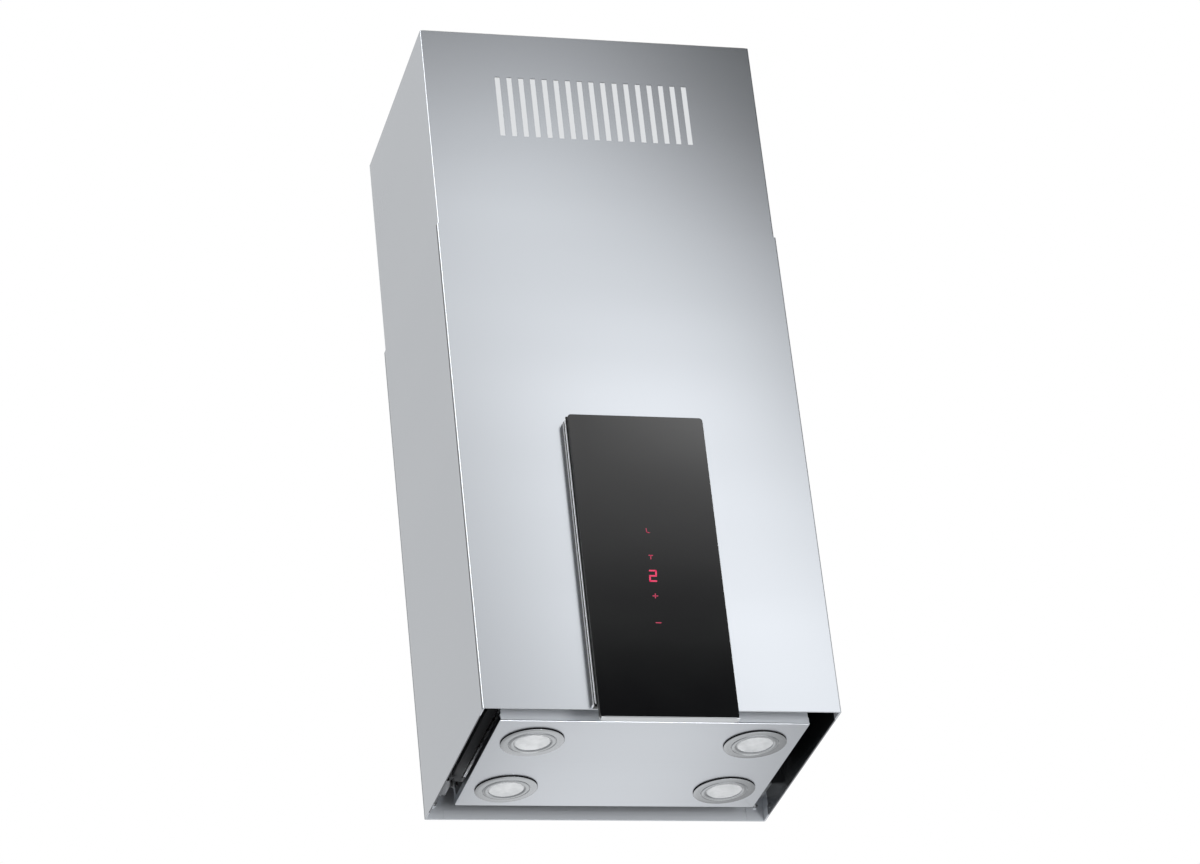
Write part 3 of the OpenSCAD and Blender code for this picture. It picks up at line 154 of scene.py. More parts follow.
def card(name, corner, side_a, side_b, tone, feather=0.22, see_through=False, only=None,
         never=None):
    """A flat card for reflections, from a corner and its two sides.

    tone is the light it sends out, or tone(tree) gives it; its share fades to nothing over the
    feathered edge. A see-through card adds its light and hides nothing. only names the nodes that
    it lights, and never the ones that it doesn't."""
    corner, side_a, side_b = map(np.array, (corner, side_a, side_b))
    material, tree = empty_paint(name)
    u, v, _ = add(tree, "SeparateXYZ", Vector=add(tree, "TexCoord").outputs["UV"]).outputs
    inner = [arithmetic(tree, "MINIMUM", t, arithmetic(tree, "SUBTRACT", 1.0, t)) for t in (u, v)]
    edge = all_of(tree, "MULTIPLY", *[along(tree, t, 0.0, feather, smooth=True) for t in inner])
    shine = tone(tree) if callable(tone) else tone
    clear = add(tree, "BsdfTransparent").outputs[0]
    if see_through:
        light = add(tree, "Emission", Strength=arithmetic(tree, "MULTIPLY", shine, edge))
        mixed = add(tree, "AddShader", i0=light.outputs[0], i1=clear)
    else:
        light = add(tree, "Emission", Strength=shine)
        mixed = add(tree, "MixShader", i0=edge, i1=clear, i2=light.outputs[0])
    link(tree, mixed.outputs[0], add(tree, "OutputMaterial").inputs["Surface"])
    piece = new_piece(name, (corner, corner + side_a, corner + side_a + side_b, corner + side_b),
                      [(0, 1, 2, 3)], material)
    piece.data.uv_layers.new(name="card").data.foreach_set("uv", [0, 0, 1, 0, 1, 1, 0, 1])
    piece.visible_camera = piece.visible_diffuse = piece.visible_shadow = False
    piece.visible_transmission = piece.visible_volume_scatter = False
    if only or never:
        lit = bpy.data.collections.new(name + "_lights")
        for n in only or never:
            lit.objects.link(nodes[n])
        if never:
            for state in lit.collection_objects:
                state.light_linking.link_state = "EXCLUDE"
        piece.light_linking.receiver_collection = lit
    return piece


def glow(tree, x, z, centre, reach, amount):
    """A soft round brightening: amount at the centre, nothing beyond its reach in x and z."""
    shares = [arithmetic(tree, "DIVIDE", arithmetic(tree, "SUBTRACT", axis, middle), far)
              for axis, middle, far in zip((x, z), centre, reach)]
    squares = all_of(tree, "ADD", *[arithmetic(tree, "MULTIPLY", s, s) for s in shares])
    fall = along(tree, squares, 0.0, 1.0, 1.0, 0.0, smooth=True)
    return arithmetic(tree, "MULTIPLY", fall, amount)


def front_tone(tree):
    """Light in front of the hood: even at the left, bright low and dark high at the right."""
    x, _, z = object_axes(tree)
    height = along(tree, z, -0.45, 1.0)
    left = ramp(tree, height, (0.0, 0.58), (0.22, 0.69), (0.5, 0.94), (0.68, 1.01), (0.75, 0.93),
                (0.86, 0.39), (0.93, 0.16), (1.0, 0.06))
    right = ramp(tree, height, (0.0, 1.0), (0.3, 0.82), (0.6, 0.36), (0.68, 0.10), (0.73, 0.0),
                 (1.0, 0.0))
    # the change from left to right is broad below, and narrow from the height of the chimney on
    high = along(tree, z, 0.45, 0.80)
    across = along(tree, x, arithmetic(tree, "MULTIPLY_ADD", high, 0.24, 0.10),
                   arithmetic(tree, "MULTIPLY_ADD", high, -0.16, 0.70), smooth=True)
    side = add(tree, "Mix", Factor=across, A=left, B=arithmetic(tree, "MULTIPLY", right, 1.35))
    low_glow = glow(tree, x, z, (0.47, -0.10), (0.42, 0.50), 0.58)
    high_glow = glow(tree, x, z, (0.36, 0.42), (0.34, 0.46), 0.40)
    edge_glow = glow(tree, x, z, (0.56, 0.46), (0.24, 0.30), 0.20)
    edge_shade = glow(tree, x, z, (0.74, 0.0), (0.19, 0.5), -0.36)
    return all_of(tree, "ADD", side.outputs[0], low_glow, high_glow, edge_glow, edge_shade)


def glass_tone(tree):
    """Light that only the black glass mirrors: it grows from the bottom to the top and right."""
    x, _, z = object_axes(tree)
    height = along(tree, z, -0.34, 0.16)
    left = ramp(tree, height, (0.0, 0.0), (0.2, 0.07), (0.45, 0.21), (0.75, 0.42), (1.0, 0.52))
    right = ramp(tree, height, (0.0, 0.0), (0.2, 0.07), (0.45, 0.24), (0.75, 0.60), (1.0, 1.1))
    side = add(tree, "Mix", Factor=along(tree, x, 0.28, 0.48), A=left, B=right)
    return arithmetic(tree, "MULTIPLY", side.outputs[0], 3.1)


def under_tone(tree):
    """Light from below and behind, strongest under the middle of the suction panel."""
    x, y, _ = object_axes(tree)
    return arithmetic(tree, "ADD", glow(tree, x, y, (0.16, 0.62), (0.24, 0.60), 0.55), 0.55)


front_card = card("front_card", (-0.9, -1.35, -1.5), (3.0, 0, 0), (0, 0, 4.3), front_tone,
                  feather=0.14, never=["control_glass"])
glass_card = card("glass_card", (-0.2, -1.3, -0.9), (1.2, 0, 0), (0, 0, 1.7), glass_tone,
                  see_through=True, only=["control_glass"])
card("left_strip", (-1.5, -1.0, -0.7), (0, 0.8, 0), (0, 0, 1.9), 6.0)
card("right_flag", (1.25, -2.0, -0.45), (0, 1.8, 0), (0, 0, 1.9), 0.0, feather=0.1)
card("under_card", (-0.7, -0.2, -1.15), (1.8, 0, 0), (0, 1.5, 0), under_tone)
card("low_card", (-1.0, -3.4, -2.6), (2.8, 0, 0), (0, 3.2, 0), 1.2, feather=0.1,
     see_through=True, never=["casing_front", "chimney"])
low_strip = card("low_strip", (-0.9, -1.5, -2.3), (2.4, 0, 0), (0, 0.4, 0), 9.0, feather=0.3,
                 see_through=True, only=["suction_panel"])
card("spark", (0.31, -1.75, -2.1), (0.3, 0, 0), (0, 0.3, 0), 45.0, feather=0.4)

world = bpy.data.worlds.new("white_room")
world.use_nodes = True
tree = world.node_tree
tree.nodes.clear()
path = add(tree, "LightPath").outputs
_, _, up = add(tree, "SeparateXYZ", Vector=add(tree, "TexCoord").outputs["Generated"]).outputs
mirrored = ramp(tree, along(tree, up, -1.0, 1.0), (0.0, 0.80), (0.3, 0.90), (0.55, 0.84),
                (0.70, 0.69), (0.8, 0.70), (1.0, 0.45))
soft = add(tree, "Background", Color=(1, 1, 1, 1), Strength=0.72)
shiny = add(tree, "Background", Color=mirrored, Strength=1.0)
white = add(tree, "Background", Color=(1, 1, 1, 1), Strength=1.0)
inner = add(tree, "MixShader", i0=path["Is Glossy Ray"], i1=soft.outputs[0], i2=shiny.outputs[0])
seen = arithmetic(tree, "MAXIMUM", path["Is Camera Ray"], path["Is Transmission Ray"])
outer = add(tree, "MixShader", i0=seen, i1=inner.outputs[0], i2=white.outputs[0])
link(tree, outer.outputs[0], add(tree, "OutputWorld").inputs["Surface"])
bpy.context.scene.world = world


def lamp(name, place, aim, size, power):
    """A soft square lamp that itself is neither seen nor mirrored."""
    data = bpy.data.lights.new(name, "AREA")
    data.size, data.energy = size, power
    piece = bpy.data.objects.new(name, data)
    piece.location = place
    piece.rotation_euler = (Vector(aim) - Vector(place)).to_track_quat("-Z", "Y").to_euler()
    piece.visible_camera = piece.visible_glossy = False
    bpy.context.scene.collection.objects.link(piece)


lamp("key_lamp", (1.6, -2.4, 0.4), (0, 0, -0.6), 1.6, 34)
lamp("left_lamp", (-2.4, -1.2, -0.2), (0, 0, -0.6), 1.6, 20)
lamp("low_lamp", (0.9, -2.6, -2.0), (0, 0, -0.86), 0.8, 60)

floor_z, floor_reach = -6.5, 30.0
floor_paint, tree = empty_paint("floor_paint")
path = add(tree, "LightPath").outputs
x, y, _ = object_axes(tree)
squares = all_of(tree, "ADD", *[arithmetic(tree, "MULTIPLY", axis, axis) for axis in (x, y)])
away = along(tree, arithmetic(tree, "SQRT", squares), 1.0, 9.0)
fade = ramp(tree, away, (0.0, 0.55), (1.0, 1.0))
seen = all_of(tree, "MAXIMUM", path["Is Camera Ray"], path["Is Glossy Ray"],
              path["Is Transmission Ray"])
paint = add(tree, "BsdfDiffuse", Color=(0.86, 0.86, 0.86, 1))
bright = add(tree, "Emission", Color=(1, 1, 1, 1), Strength=1.0)
mixed = add(tree, "MixShader", i0=arithmetic(tree, "MULTIPLY", seen, fade), i1=paint.outputs[0],
            i2=bright.outputs[0])
link(tree, mixed.outputs[0], add(tree, "OutputMaterial").inputs["Surface"])
square = ((-1, -1), (1, -1), (1, 1), (-1, 1))
floor = new_piece("floor", [(floor_reach * i, floor_reach * j, floor_z) for i, j in square],
                  [(0, 1, 2, 3)], floor_paint)

# The ceiling that the hood hangs from is drawn only over the frame's opening, and only from below.
low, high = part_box("ceiling_frame")
ceiling_lift, ceiling_inset = 0.002, 0.012
west, east, near, far = low.x + ceiling_inset, high.x, low.y + ceiling_inset, high.y
ceiling_paint, tree = empty_paint("ceiling_paint")
plaster = add(tree, "Emission", Color=(0.96, 0.98, 1, 1), Strength=0.76)
above = add(tree, "NewGeometry").outputs["Backfacing"]
clear = add(tree, "BsdfTransparent")
mixed = add(tree, "MixShader", i0=above, i1=plaster.outputs[0], i2=clear.outputs[0])
link(tree, mixed.outputs[0], add(tree, "OutputMaterial").inputs["Surface"])
edges = ((west, near), (west, far), (east, far), (east, near))
ceiling = new_piece("ceiling", [(x, y, high.z + ceiling_lift) for x, y in edges], [(0, 1, 2, 3)],
                    ceiling_paint)
ceiling.visible_diffuse = ceiling.visible_shadow = False

# ---------------------------------------------------------------- chimney and casing
# Brushed stainless sheet 1 mm thick, folded on a press brake. The upper chimney slides inside the
# casing, and the casing's front and back wrap round the corners onto the side sheets.
steel_tint = (0.585, 0.612, 0.650)
casing_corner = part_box("casing_front")[0]
casing_foot, half_width, half_depth = casing_corner.z, -casing_corner.x, -casing_corner.y
skin = 0.0008  # deeper than this below the outside, a face of the sheet looks inwards
bend_zone = 0.020  # how far the casing's corners reach in from its front and back


def paint_for(name):
    """A new node material, its tree and its Principled shader."""
    material = bpy.data.materials.new(name)
    material.use_nodes = True
    return material, material.node_tree, material.node_tree.nodes["Principled BSDF"]


def noise(tree, stretch, detail=3.0, roughness=0.55):
    """Noise over Object coordinates in metres, with its cells counted per metre on each axis."""
    place = add(tree, "Mapping", Vector=add(tree, "TexCoord").outputs["Object"])
    place.inputs["Scale"].default_value = stretch
    return add(tree, "TexNoise", Vector=place.outputs[0], Scale=1.0, Detail=detail,
               Roughness=roughness).outputs["Fac"]


def two_tone(tree, share, first, second):
    """The first colour turning into the second by the share. A colour may be a socket too."""
    node = add(tree, "Mix", Factor=share)
    node.data_type = "RGBA"
    for socket, colour in zip(node.inputs[6:8], (first, second)):
        if isinstance(colour, bpy.types.NodeSocket):
            link(tree, colour, socket)
        else:
            socket.default_value = (*colour, 1)
    return node.outputs[2]


def beyond(tree, axis, reach):
    """1 where the coordinate lies farther than the reach from the middle, on either side."""
    return arithmetic(tree, "GREATER_THAN", arithmetic(tree, "ABSOLUTE", axis), reach)


def within(tree, axis, reach):
    """1 where the coordinate lies nearer than the reach to the middle."""
    return arithmetic(tree, "LESS_THAN", arithmetic(tree, "ABSOLUTE", axis), reach)


def bumps(tree, shader, *layers):
    """Chains bumps, each of (height socket, depth in metres, strength), onto the shader."""
    normal = None
    for height, depth, strength in layers:
        node = add(tree, "Bump", Height=height, Distance=depth, Strength=strength)
        if normal is not None:
            link(tree, normal, node.inputs["Normal"])
        normal = node.outputs[0]
    link(tree, normal, shader.inputs["Normal"])


def speckled(name, stretch, dark, light, roughness, spread, bump=None, metallic=0.0, detail=3.0,
             light_at=0.7):
    """A finish whose tone and gloss follow one noise: it is dark where the noise is low, light from
    light_at on, and its roughness grows by the spread with the noise. bump is (depth, strength)."""
    material, tree, shader = paint_for(name)
    specks = noise(tree, stretch, detail)
    link(tree, ramp(tree, specks, (0.3, dark), (light_at, light)), shader.inputs["Base Color"])
    gloss = arithmetic(tree, "MULTIPLY_ADD", specks, spread, roughness)
    link(tree, gloss, shader.inputs["Roughness"])
    shader.inputs["Metallic"].default_value = metallic
    if bump is not None:
        bumps(tree, shader, (specks, *bump))
    return material


def brushed_steel(name, tint, grain, wide, round_axis, roughness=0.26, mill_and_shade=None, inside=None):
    """Metal whose grain is noise drawn out along the brushing.

    A fine grain gives the bump, a middle one the roughness, and a broad one the faint clouding
    that handling and rolling leave. The reflection spreads across the grain. Where the dull share
    is 1 the sheet keeps the dull finish it had when it was rolled, and where that share falls off
    upward it is painted shade. Where the inner mask is 1 the colour is darkened to a fifth of the
    tint: painted shade inside the casing."""
    material, tree, shader = paint_for(name)
    fine, middle, cloud = (noise(tree, grain), noise(tree, [g * 0.45 for g in grain], 2.0),
                           noise(tree, wide, 2.0))
    tone = two_tone(tree, middle, [c * 0.98 for c in tint], [c * 1.02 for c in tint])
    if inside is not None:
        tone = two_tone(tree, inside(tree), tone, [c * 0.22 for c in tint])
    link(tree, tone, shader.inputs["Base Color"])
    shader.inputs["Metallic"].default_value = 1.0
    worn = arithmetic(tree, "MULTIPLY_ADD", cloud, 0.10, roughness - 0.07)
    worn = arithmetic(tree, "MULTIPLY_ADD", middle, 0.02, worn)
    if mill_and_shade is not None:
        dull = mill_and_shade(tree)
        link(tree, arithmetic(tree, "MULTIPLY_ADD", dull, -0.55, 1.0), shader.inputs["Metallic"])
        worn = arithmetic(tree, "MULTIPLY_ADD", dull, 0.22, worn)
    link(tree, worn, shader.inputs["Roughness"])
    shader.inputs["Anisotropic"].default_value = 0.4
    shader.inputs["Anisotropic Rotation"].default_value = 0.25
    tangent = tree.nodes.new("ShaderNodeTangent")
    tangent.direction_type, tangent.axis = "RADIAL", round_axis
    link(tree, tangent.outputs[0], shader.inputs["Tangent"])
    bumps(tree, shader, (cloud, 0.0004, 0.03), (fine, 0.00002, 0.007))
    return material


def dress(material, *names):
    """Gives CAD nodes this finish."""
    for name in names:
        for place in nodes[name].material_slots:
            place.material = material


def inner_face(tree):
    """1 low on the faces that look into the casing from its front, back and corners, less above;
    the fall with height is painted shade under the casing's edge.
    """
    x, y, z = object_axes(tree)
    lower = along(tree, z, casing_foot + 0.022, casing_foot + 0.001, 0.25, 1.0)
    return all_of(tree, "MULTIPLY", lower, within(tree, x, half_width - skin),
                  within(tree, y, half_depth - skin), beyond(tree, y, half_depth - bend_zone))


def inner_sides(tree):
    """1 on the inner faces of the side sheets, between the bends, where shade is painted."""
    x, y, _ = object_axes(tree)
    return arithmetic(tree, "MULTIPLY", within(tree, x, half_width - skin),
                      within(tree, y, half_depth - bend_zone))


# the brushing runs level round the hood
level = {"tint": steel_tint, "grain": (1.6, 1.6, 1300), "wide": (0.7, 0.7, 5), "round_axis": "Z"}
dress(brushed_steel("steel_brushed_level", **level), "chimney")
# on the front and back the inner faces' dull share falls with height: painted shade
dress(brushed_steel("steel_brushed_dull_inside_and_painted_shade", mill_and_shade=inner_face, **level),
      "casing_front", "casing_back")
# the side sheets' inner faces are darkened to a fifth of the tint: painted shade inside the casing
dress(brushed_steel("steel_brushed_dull_and_painted_inner_shade", mill_and_shade=inner_face, inside=inner_sides, **level),
      "casing_left", "casing_right")


def eased(node, radius, share=None, segments=3, angle=50):
    """A copy of a CAD node whose sharp edges are rounded: its loose triangles are joined into whole
    faces, and a bevel rolls every edge sharper than the angle by the radius, or by the share of it
    that share(ends) gives for arrays of the edges' two end points."""
    mesh = nodes[node].data.copy()
    mesh.name = f"{node}_eased"
    work = bmesh.new()
    work.from_mesh(mesh)
    bmesh.ops.remove_doubles(work, verts=work.verts, dist=0.000002)
    bmesh.ops.dissolve_limit(work, angle_limit=math.radians(0.5), verts=work.verts,
                             edges=work.edges)
    work.to_mesh(mesh)
    work.free()
    mesh.shade_smooth()
    mesh.set_sharp_from_angle(angle=math.radians(30))
    piece = bpy.data.objects.new(mesh.name, mesh)
    bpy.context.scene.collection.objects.link(piece)
    bevel = piece.modifiers.new("rolled_edges", "BEVEL")
    bevel.width, bevel.segments = radius, segments
    bevel.limit_method, bevel.angle_limit = "ANGLE", math.radians(angle)
    bevel.harden_normals = True
    bevel.use_clamp_overlap = share is None
    if share is not None:
        bends = bmesh.new()
        bends.from_mesh(mesh)
        fold = np.array([e.calc_face_angle(0.0) for e in bends.edges])
        bends.free()
        ends, place = np.empty(len(mesh.edges) * 2, int), np.empty(len(mesh.vertices) * 3)
        mesh.edges.foreach_get("vertices", ends)
        mesh.vertices.foreach_get("co", place)
        shares = share(place.reshape(-1, 3)[ends.reshape(-1, 2)])
        weight = np.where(fold > math.radians(angle), shares, 0.0)
        mesh.attributes.new("bevel_weight_edge", "FLOAT", "EDGE").data.foreach_set("value", weight)
        bevel.limit_method = "WEIGHT"
    return piece


# The wrapped edges of the front and back sheets lie in a lap on the side sheets, and a thin black
# bead in the groove that is left beside each edge is painted shade: it stands for the shadow in
# the open lap. For each end: how far the groove begins and ends from the casing's face, its depth,
# and the height of the bead.
grooves = {"front": (0.0031, 0.0063, 0.0002, 0.0004), "back": (0.0031, 0.0042, 0.0005, 0.0003)}
low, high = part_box("casing_left")
bead_rows = np.array([low.z + 0.0006, high.z - 0.0006])
seam_shadow_paint = speckled("black_seam_shadow", (500, 500, 60), 0.012, 0.03, roughness=0.5, spread=0.2)
for end, y_way in (("front", -1), ("back", 1)):
    begins, stops, deep, bead_rise = grooves[end]
    for side, x_way in (("left", -1), ("right", 1)):
        # half an ellipse across the groove, carried up the seam and closed at both ends
        swing = np.linspace(0, math.pi, 9)
        across = half_depth - (begins + stops) / 2 + (stops - begins) / 2 * np.cos(swing)
        outward = half_width - deep + bead_rise * np.sin(swing)
        n = len(swing)
        points = np.stack([np.tile(x_way * outward, 2), np.tile(y_way * across, 2),
                           np.repeat(bead_rows, n)], 1)
        here = np.arange(n)
        ahead = np.roll(here, -1)
        faces = np.stack([here, ahead, ahead + n, here + n], 1).tolist()
        faces += [here[::-1].tolist(), (here + n).tolist()]
        if x_way * y_way > 0:
            faces = [face[::-1] for face in faces]
        shadow_strip = new_piece(f"lap_shadow_{end}_{side}", points, faces, seam_shadow_paint)
        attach(shadow_strip, "hood")

# ---------------------------------------------------------------- ceiling frame and posts
# Hot-dip galvanised sheet, folded and punched. The upper posts hang from the frame's lugs and the
# lower posts, which stand on the air box, are clamped to them at the wanted height.


def galvanised(name, tint, roughness=0.42):
    """Zinc with its frozen spangle: cells of slightly different tone and gloss."""
    material, tree, shader = paint_for(name)
    cells = add(tree, "TexVoronoi", Vector=add(tree, "TexCoord").outputs["Object"], Scale=95.0)
    mottled = add(tree, "SeparateXYZ", Vector=cells.outputs["Color"]).outputs[0]
    tones = ramp(tree, mottled, (0.0, [c * 0.80 for c in tint]), (1.0, [c * 1.12 for c in tint]))
    link(tree, tones, shader.inputs["Base Color"])
    shader.inputs["Metallic"].default_value = 1.0
    gloss = arithmetic(tree, "MULTIPLY_ADD", mottled, 0.22, roughness - 0.1)
    link(tree, gloss, shader.inputs["Roughness"])
    bumps(tree, shader, (cells.outputs["Distance"], 0.0002, 0.15),
          (noise(tree, (900, 900, 900)), 0.00003, 0.3))
    return material


corners = ("front_left", "front_right", "back_left", "back_right")
dress(galvanised("zinc_sheet", (0.60, 0.61, 0.60)), "ceiling_frame", "air_box_top", "motor_mount",
      *[f"{part}_post_{corner}" for part in ("upper", "lower") for corner in corners])

# ---------------------------------------------------------------- screws, bolts and pins
# Cold-headed steel with a bright zinc plating. The screws of the chimney and the upper posts are
# drawn anew, with pan heads and cross recesses.
fastener = speckled("zinc_plated_steel", (400, 400, 400), (0.50, 0.51, 0.52), (0.74, 0.75, 0.77),
                    roughness=0.16, spread=0.2, bump=(0.0001, 0.15), metallic=1.0, light_at=0.75)
dress(fastener, "clamp_bolts", "hood_screws", "flap_pins", "motor_shaft", "lamp_clips")

shank_r, shank_l, shank_tip = 0.00175, 0.005, 0.001
head_r, head_h, dome_drop = 0.0036, 0.0024, 0.0011
cross_depth, arm_half_top, arm_half_floor = 0.0012, 0.00062, 0.00048
cross_middle_r, arm_deep_r, arm_end_r = 0.0008, 0.0016, 0.002
ring_r = np.array([0.25, 0.6, 1.0, 1.5, 1.9, 2.15, 2.6, 3.1, 3.45, 3.6, 3.6]) / 1000


def fans(here, there, count):
    """Triangles that close the first and the last ring on the last two of the mesh's points."""
    first, last = np.full((2, here.shape[1]), [[count - 2], [count - 1]])
    return np.concatenate([np.stack([first, here[0], there[0]], 1),
                           np.stack([last, there[-1], here[-1]], 1)]).tolist()


def screw(seat, level, across, outward):
    """A pan-head screw with a cross recess, from its seat and three unit directions: two sideways
    and one outward.

    Rings of points go from the middle of the head over its dome, down its side and along the shank.
    The dome's height falls with the square of the radius, and the points of a ring gather on the
    edges of the cross's four arms, where the recess falls away."""
    arm_edge = np.arcsin(np.minimum(0.42, arm_half_top / ring_r))
    arm_floor = np.arcsin(np.minimum(0.34, arm_half_floor / ring_r))
    between, halfway = np.full_like(ring_r, 0.54), np.full_like(ring_r, math.pi / 4)
    quarter = np.stack([-halfway, -between, -arm_edge, -arm_floor, arm_floor, arm_edge, between], 1)
    angle = np.concatenate([quarter + k * math.pi / 2 for k in range(4)], 1)
    in_arm = np.tile([False, False, False, True, True, False, False], 4)
    dome = head_h - dome_drop * (ring_r / head_r) ** 2
    dome[-1] = 0.0
    sunk = cross_depth * np.where(ring_r < arm_deep_r, 1.0, np.where(ring_r < arm_end_r, 0.7, 0.0))
    recessed = in_arm[None, :] | (ring_r[:, None] < cross_middle_r)
    height = dome[:, None] - np.where(recessed, sunk[:, None], 0.0)
    angle = np.concatenate([angle, np.tile(angle[-1], (3, 1))])
    flat = np.ones(angle.shape[1])
    radius = np.outer(np.concatenate([ring_r, [shank_r, shank_r, shank_r * 0.35]]), flat)
    height = np.concatenate([height, np.outer([0.0, shank_tip - shank_l, -shank_l], flat)])
    rings = np.stack([radius * np.cos(angle), radius * np.sin(angle), height], 2).reshape(-1, 3)
    tips = [[0, 0, head_h - cross_depth - 0.0002], [0, 0, -shank_l]]
    local = np.concatenate([rings, tips])
    points = np.array(seat) + local @ np.array([level, across, outward], dtype=float)
    here = np.arange(angle.size).reshape(angle.shape)
    there = np.roll(here, -1, axis=1)
    quads = np.stack([here[:-1], here[1:], there[1:], there[:-1]], 2).reshape(-1, 4).tolist()
    return points, quads + fans(here, there, len(points))


# two screws hold the chimney's back on the frame's skirt, and four hold the upper posts on its lugs
low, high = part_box("frame_screws")
back_seat, side_seat = high.y - head_h, high.x - head_h
chimney_screw_x, chimney_screw_z = 0.120, high.z - head_r
post_screw_y, post_screw_z = -low.y - head_r, low.z + head_r
up, right, behind = (0, 0, 1), (1, 0, 0), (0, 1, 0)
heads = []
for way in (-1, 1):
    x, y = way * chimney_screw_x, way * post_screw_y
    heads += [screw((x, back_seat, chimney_screw_z), up, right, behind),
              screw((side_seat, y, post_screw_z), behind, up, right),
              screw((-side_seat, y, post_screw_z), up, behind, (-1, 0, 0))]
starts = np.cumsum([0] + [len(points) for points, _ in heads])
faces = [[i + int(start) for i in face] for start, (_, own) in zip(starts, heads) for face in own]
pan_screws = new_piece("frame_pan_screws", np.concatenate([points for points, _ in heads]), faces,
                       fastener, crease=38)
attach(pan_screws, "ceiling_mount")
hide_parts("frame_screws")

# ---------------------------------------------------------------- air box
# A deep box of steel sheet with a lower rim, powder coated in a dark grey. Brackets in a lighter
# grey join it to the casing's sides and carry the suction panel's hinge.


def coated(name, tone, roughness=0.45, grain=0.00006, specular=0.5):
    """Paint or moulded plastic with a fine orange-peel skin and a faint unevenness of tone."""
    material, tree, shader = paint_for(name)
    uneven = noise(tree, (14, 14, 14), 4.0)
    peel = noise(tree, (1100, 1100, 1100), 2.0)
    tones = ramp(tree, uneven, (0.3, [c * 0.88 for c in tone]), (0.7, [c * 1.1 for c in tone]))
    link(tree, tones, shader.inputs["Base Color"])
    gloss = arithmetic(tree, "MULTIPLY_ADD", uneven, 0.14, roughness - 0.07)
    link(tree, gloss, shader.inputs["Roughness"])
    shader.inputs["Specular IOR Level"].default_value = specular
    bumps(tree, shader, (peel, grain, 0.5))
    return material


dress(coated("dark_powder_coat", (0.035, 0.037, 0.040), 0.42), "air_box")
dress(coated("grey_powder_coat", (0.30, 0.31, 0.32), 0.38), "casing_bracket_left",
      "casing_bracket_right", "hinge_bracket_left", "hinge_bracket_right")

# ---------------------------------------------------------------- suction panel and hinge
# A shallow tray of brushed steel: a flat face with upturned sides and a deep front flange whose
# lip meets two magnets. It hangs by two ears at the rear on black pins.
panel_low, panel_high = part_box("suction_panel")
flange_face = panel_low.y + 0.0003
flange_foot = panel_low.z + 0.0016
foot_reach, rim_reach = 0.0002, 0.0015  # how near its box's faces the panel's outline lies


def front_flange(tree):
    """Strong low on the upright flange at the panel's front, less above, and 0 on the bend. The
    weakening upward is painted shade under the casing's front sheet.
    """
    _, y, z = object_axes(tree)
    lower = along(tree, z, flange_foot + 0.009, flange_foot, 0.75, 1.3)
    return all_of(tree, "MULTIPLY", lower, arithmetic(tree, "LESS_THAN", y, flange_face),
                  arithmetic(tree, "GREATER_THAN", z, flange_foot))


def bend_share(ends):
    """Whole for the edges round the outline of the panel's flat face, nothing for the others."""
    x, y, z = np.moveaxis(ends, 2, 0)
    outer = np.abs(x) > panel_high.x - rim_reach
    outer |= (y < panel_low.y + rim_reach) | (y > panel_high.y - rim_reach)
    return np.where((outer & (z < panel_low.z + foot_reach)).all(axis=1), 1.0, 0.0)


# the front flange's dull share falls with height: painted shade under the casing's edge
steel_across = brushed_steel("steel_brushed_across", steel_tint, (1.6, 1300, 1300), (0.7, 5, 5),
                             "Y", roughness=0.30, mill_and_shade=front_flange)
panel = eased("suction_panel", 0.0009, bend_share, segments=5)
low_strip.light_linking.receiver_collection.objects.link(panel)
panel.data.materials.clear()
panel.data.materials.append(steel_across)
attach(panel, "suction_tray")
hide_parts("suction_panel")
dress(coated("blackened_steel", (0.02, 0.02, 0.022), 0.28), "hinge_pins")
dress(coated("magnet_ferrite", (0.05, 0.048, 0.046), 0.55), "panel_magnets")

# ---------------------------------------------------------------- lamps
# Four recessed spotlights: a spun bezel with a rolled rim, a retaining ring that holds the lens,
# and a cup above the panel. Each is one turned shape, with a black ring on the panel under its
# rim that is painted shade for the gap between bezel and panel.
bezel_metal = speckled("lamp_satin_metal", (600, 600, 600), (0.37, 0.385, 0.40),
                       (0.41, 0.425, 0.44), roughness=0.09, spread=0.05, bump=(0.00002, 0.15),
                       metallic=1.0)
steps_round = 96

# outlines of (radius, height) over the panel's lower face; the housing's goes from the top of
# its cup down to the bezel's rim and face, the groove, the ring and the lens's seat, and back up
rim_r, rim_z, rim_roll = 0.0345, -0.0014, 0.0005
swing = np.linspace(-0.3, math.pi / 2, 7)
cup = [(0, 0.021), (0.025, 0.021), (0.0275, 0.0204), (0.0284, 0.0195), (0.029, 0.017),
       (0.029, 0.0), (0.0346, 0.0), (0.0346, -0.0011)]
rolled = np.stack([rim_r + rim_roll * np.cos(swing), rim_z - rim_roll * np.sin(swing)], 1)
bezel = [(0.0302, -0.00185), (0.0268, -0.0019), (0.0262, -0.0014), (0.0261, -0.0013),
         (0.0256, -0.0013), (0.0256, -0.0017), (0.0254, -0.00195), (0.0250, -0.0021),
         (0.0228, -0.0022), (0.0206, -0.0021), (0.0203, -0.0019), (0.0202, -0.0016),
         (0.0202, -0.0010), (0.0251, -0.0010), (0.0251, 0.0014), (0.028, 0.0014),
         (0.028, 0.0166), (0.0246, 0.02), (0, 0.02)]
housing_outline = np.concatenate([cup, rolled, bezel])
# the black ring under the bezel's rim, painted shade for the dark gap at its edge
rim_shade_outline = np.array([(0.0300, -0.00005), (0.0352, -0.00005), (0.0352, -0.0013),
                           (0.0300, -0.0013)])


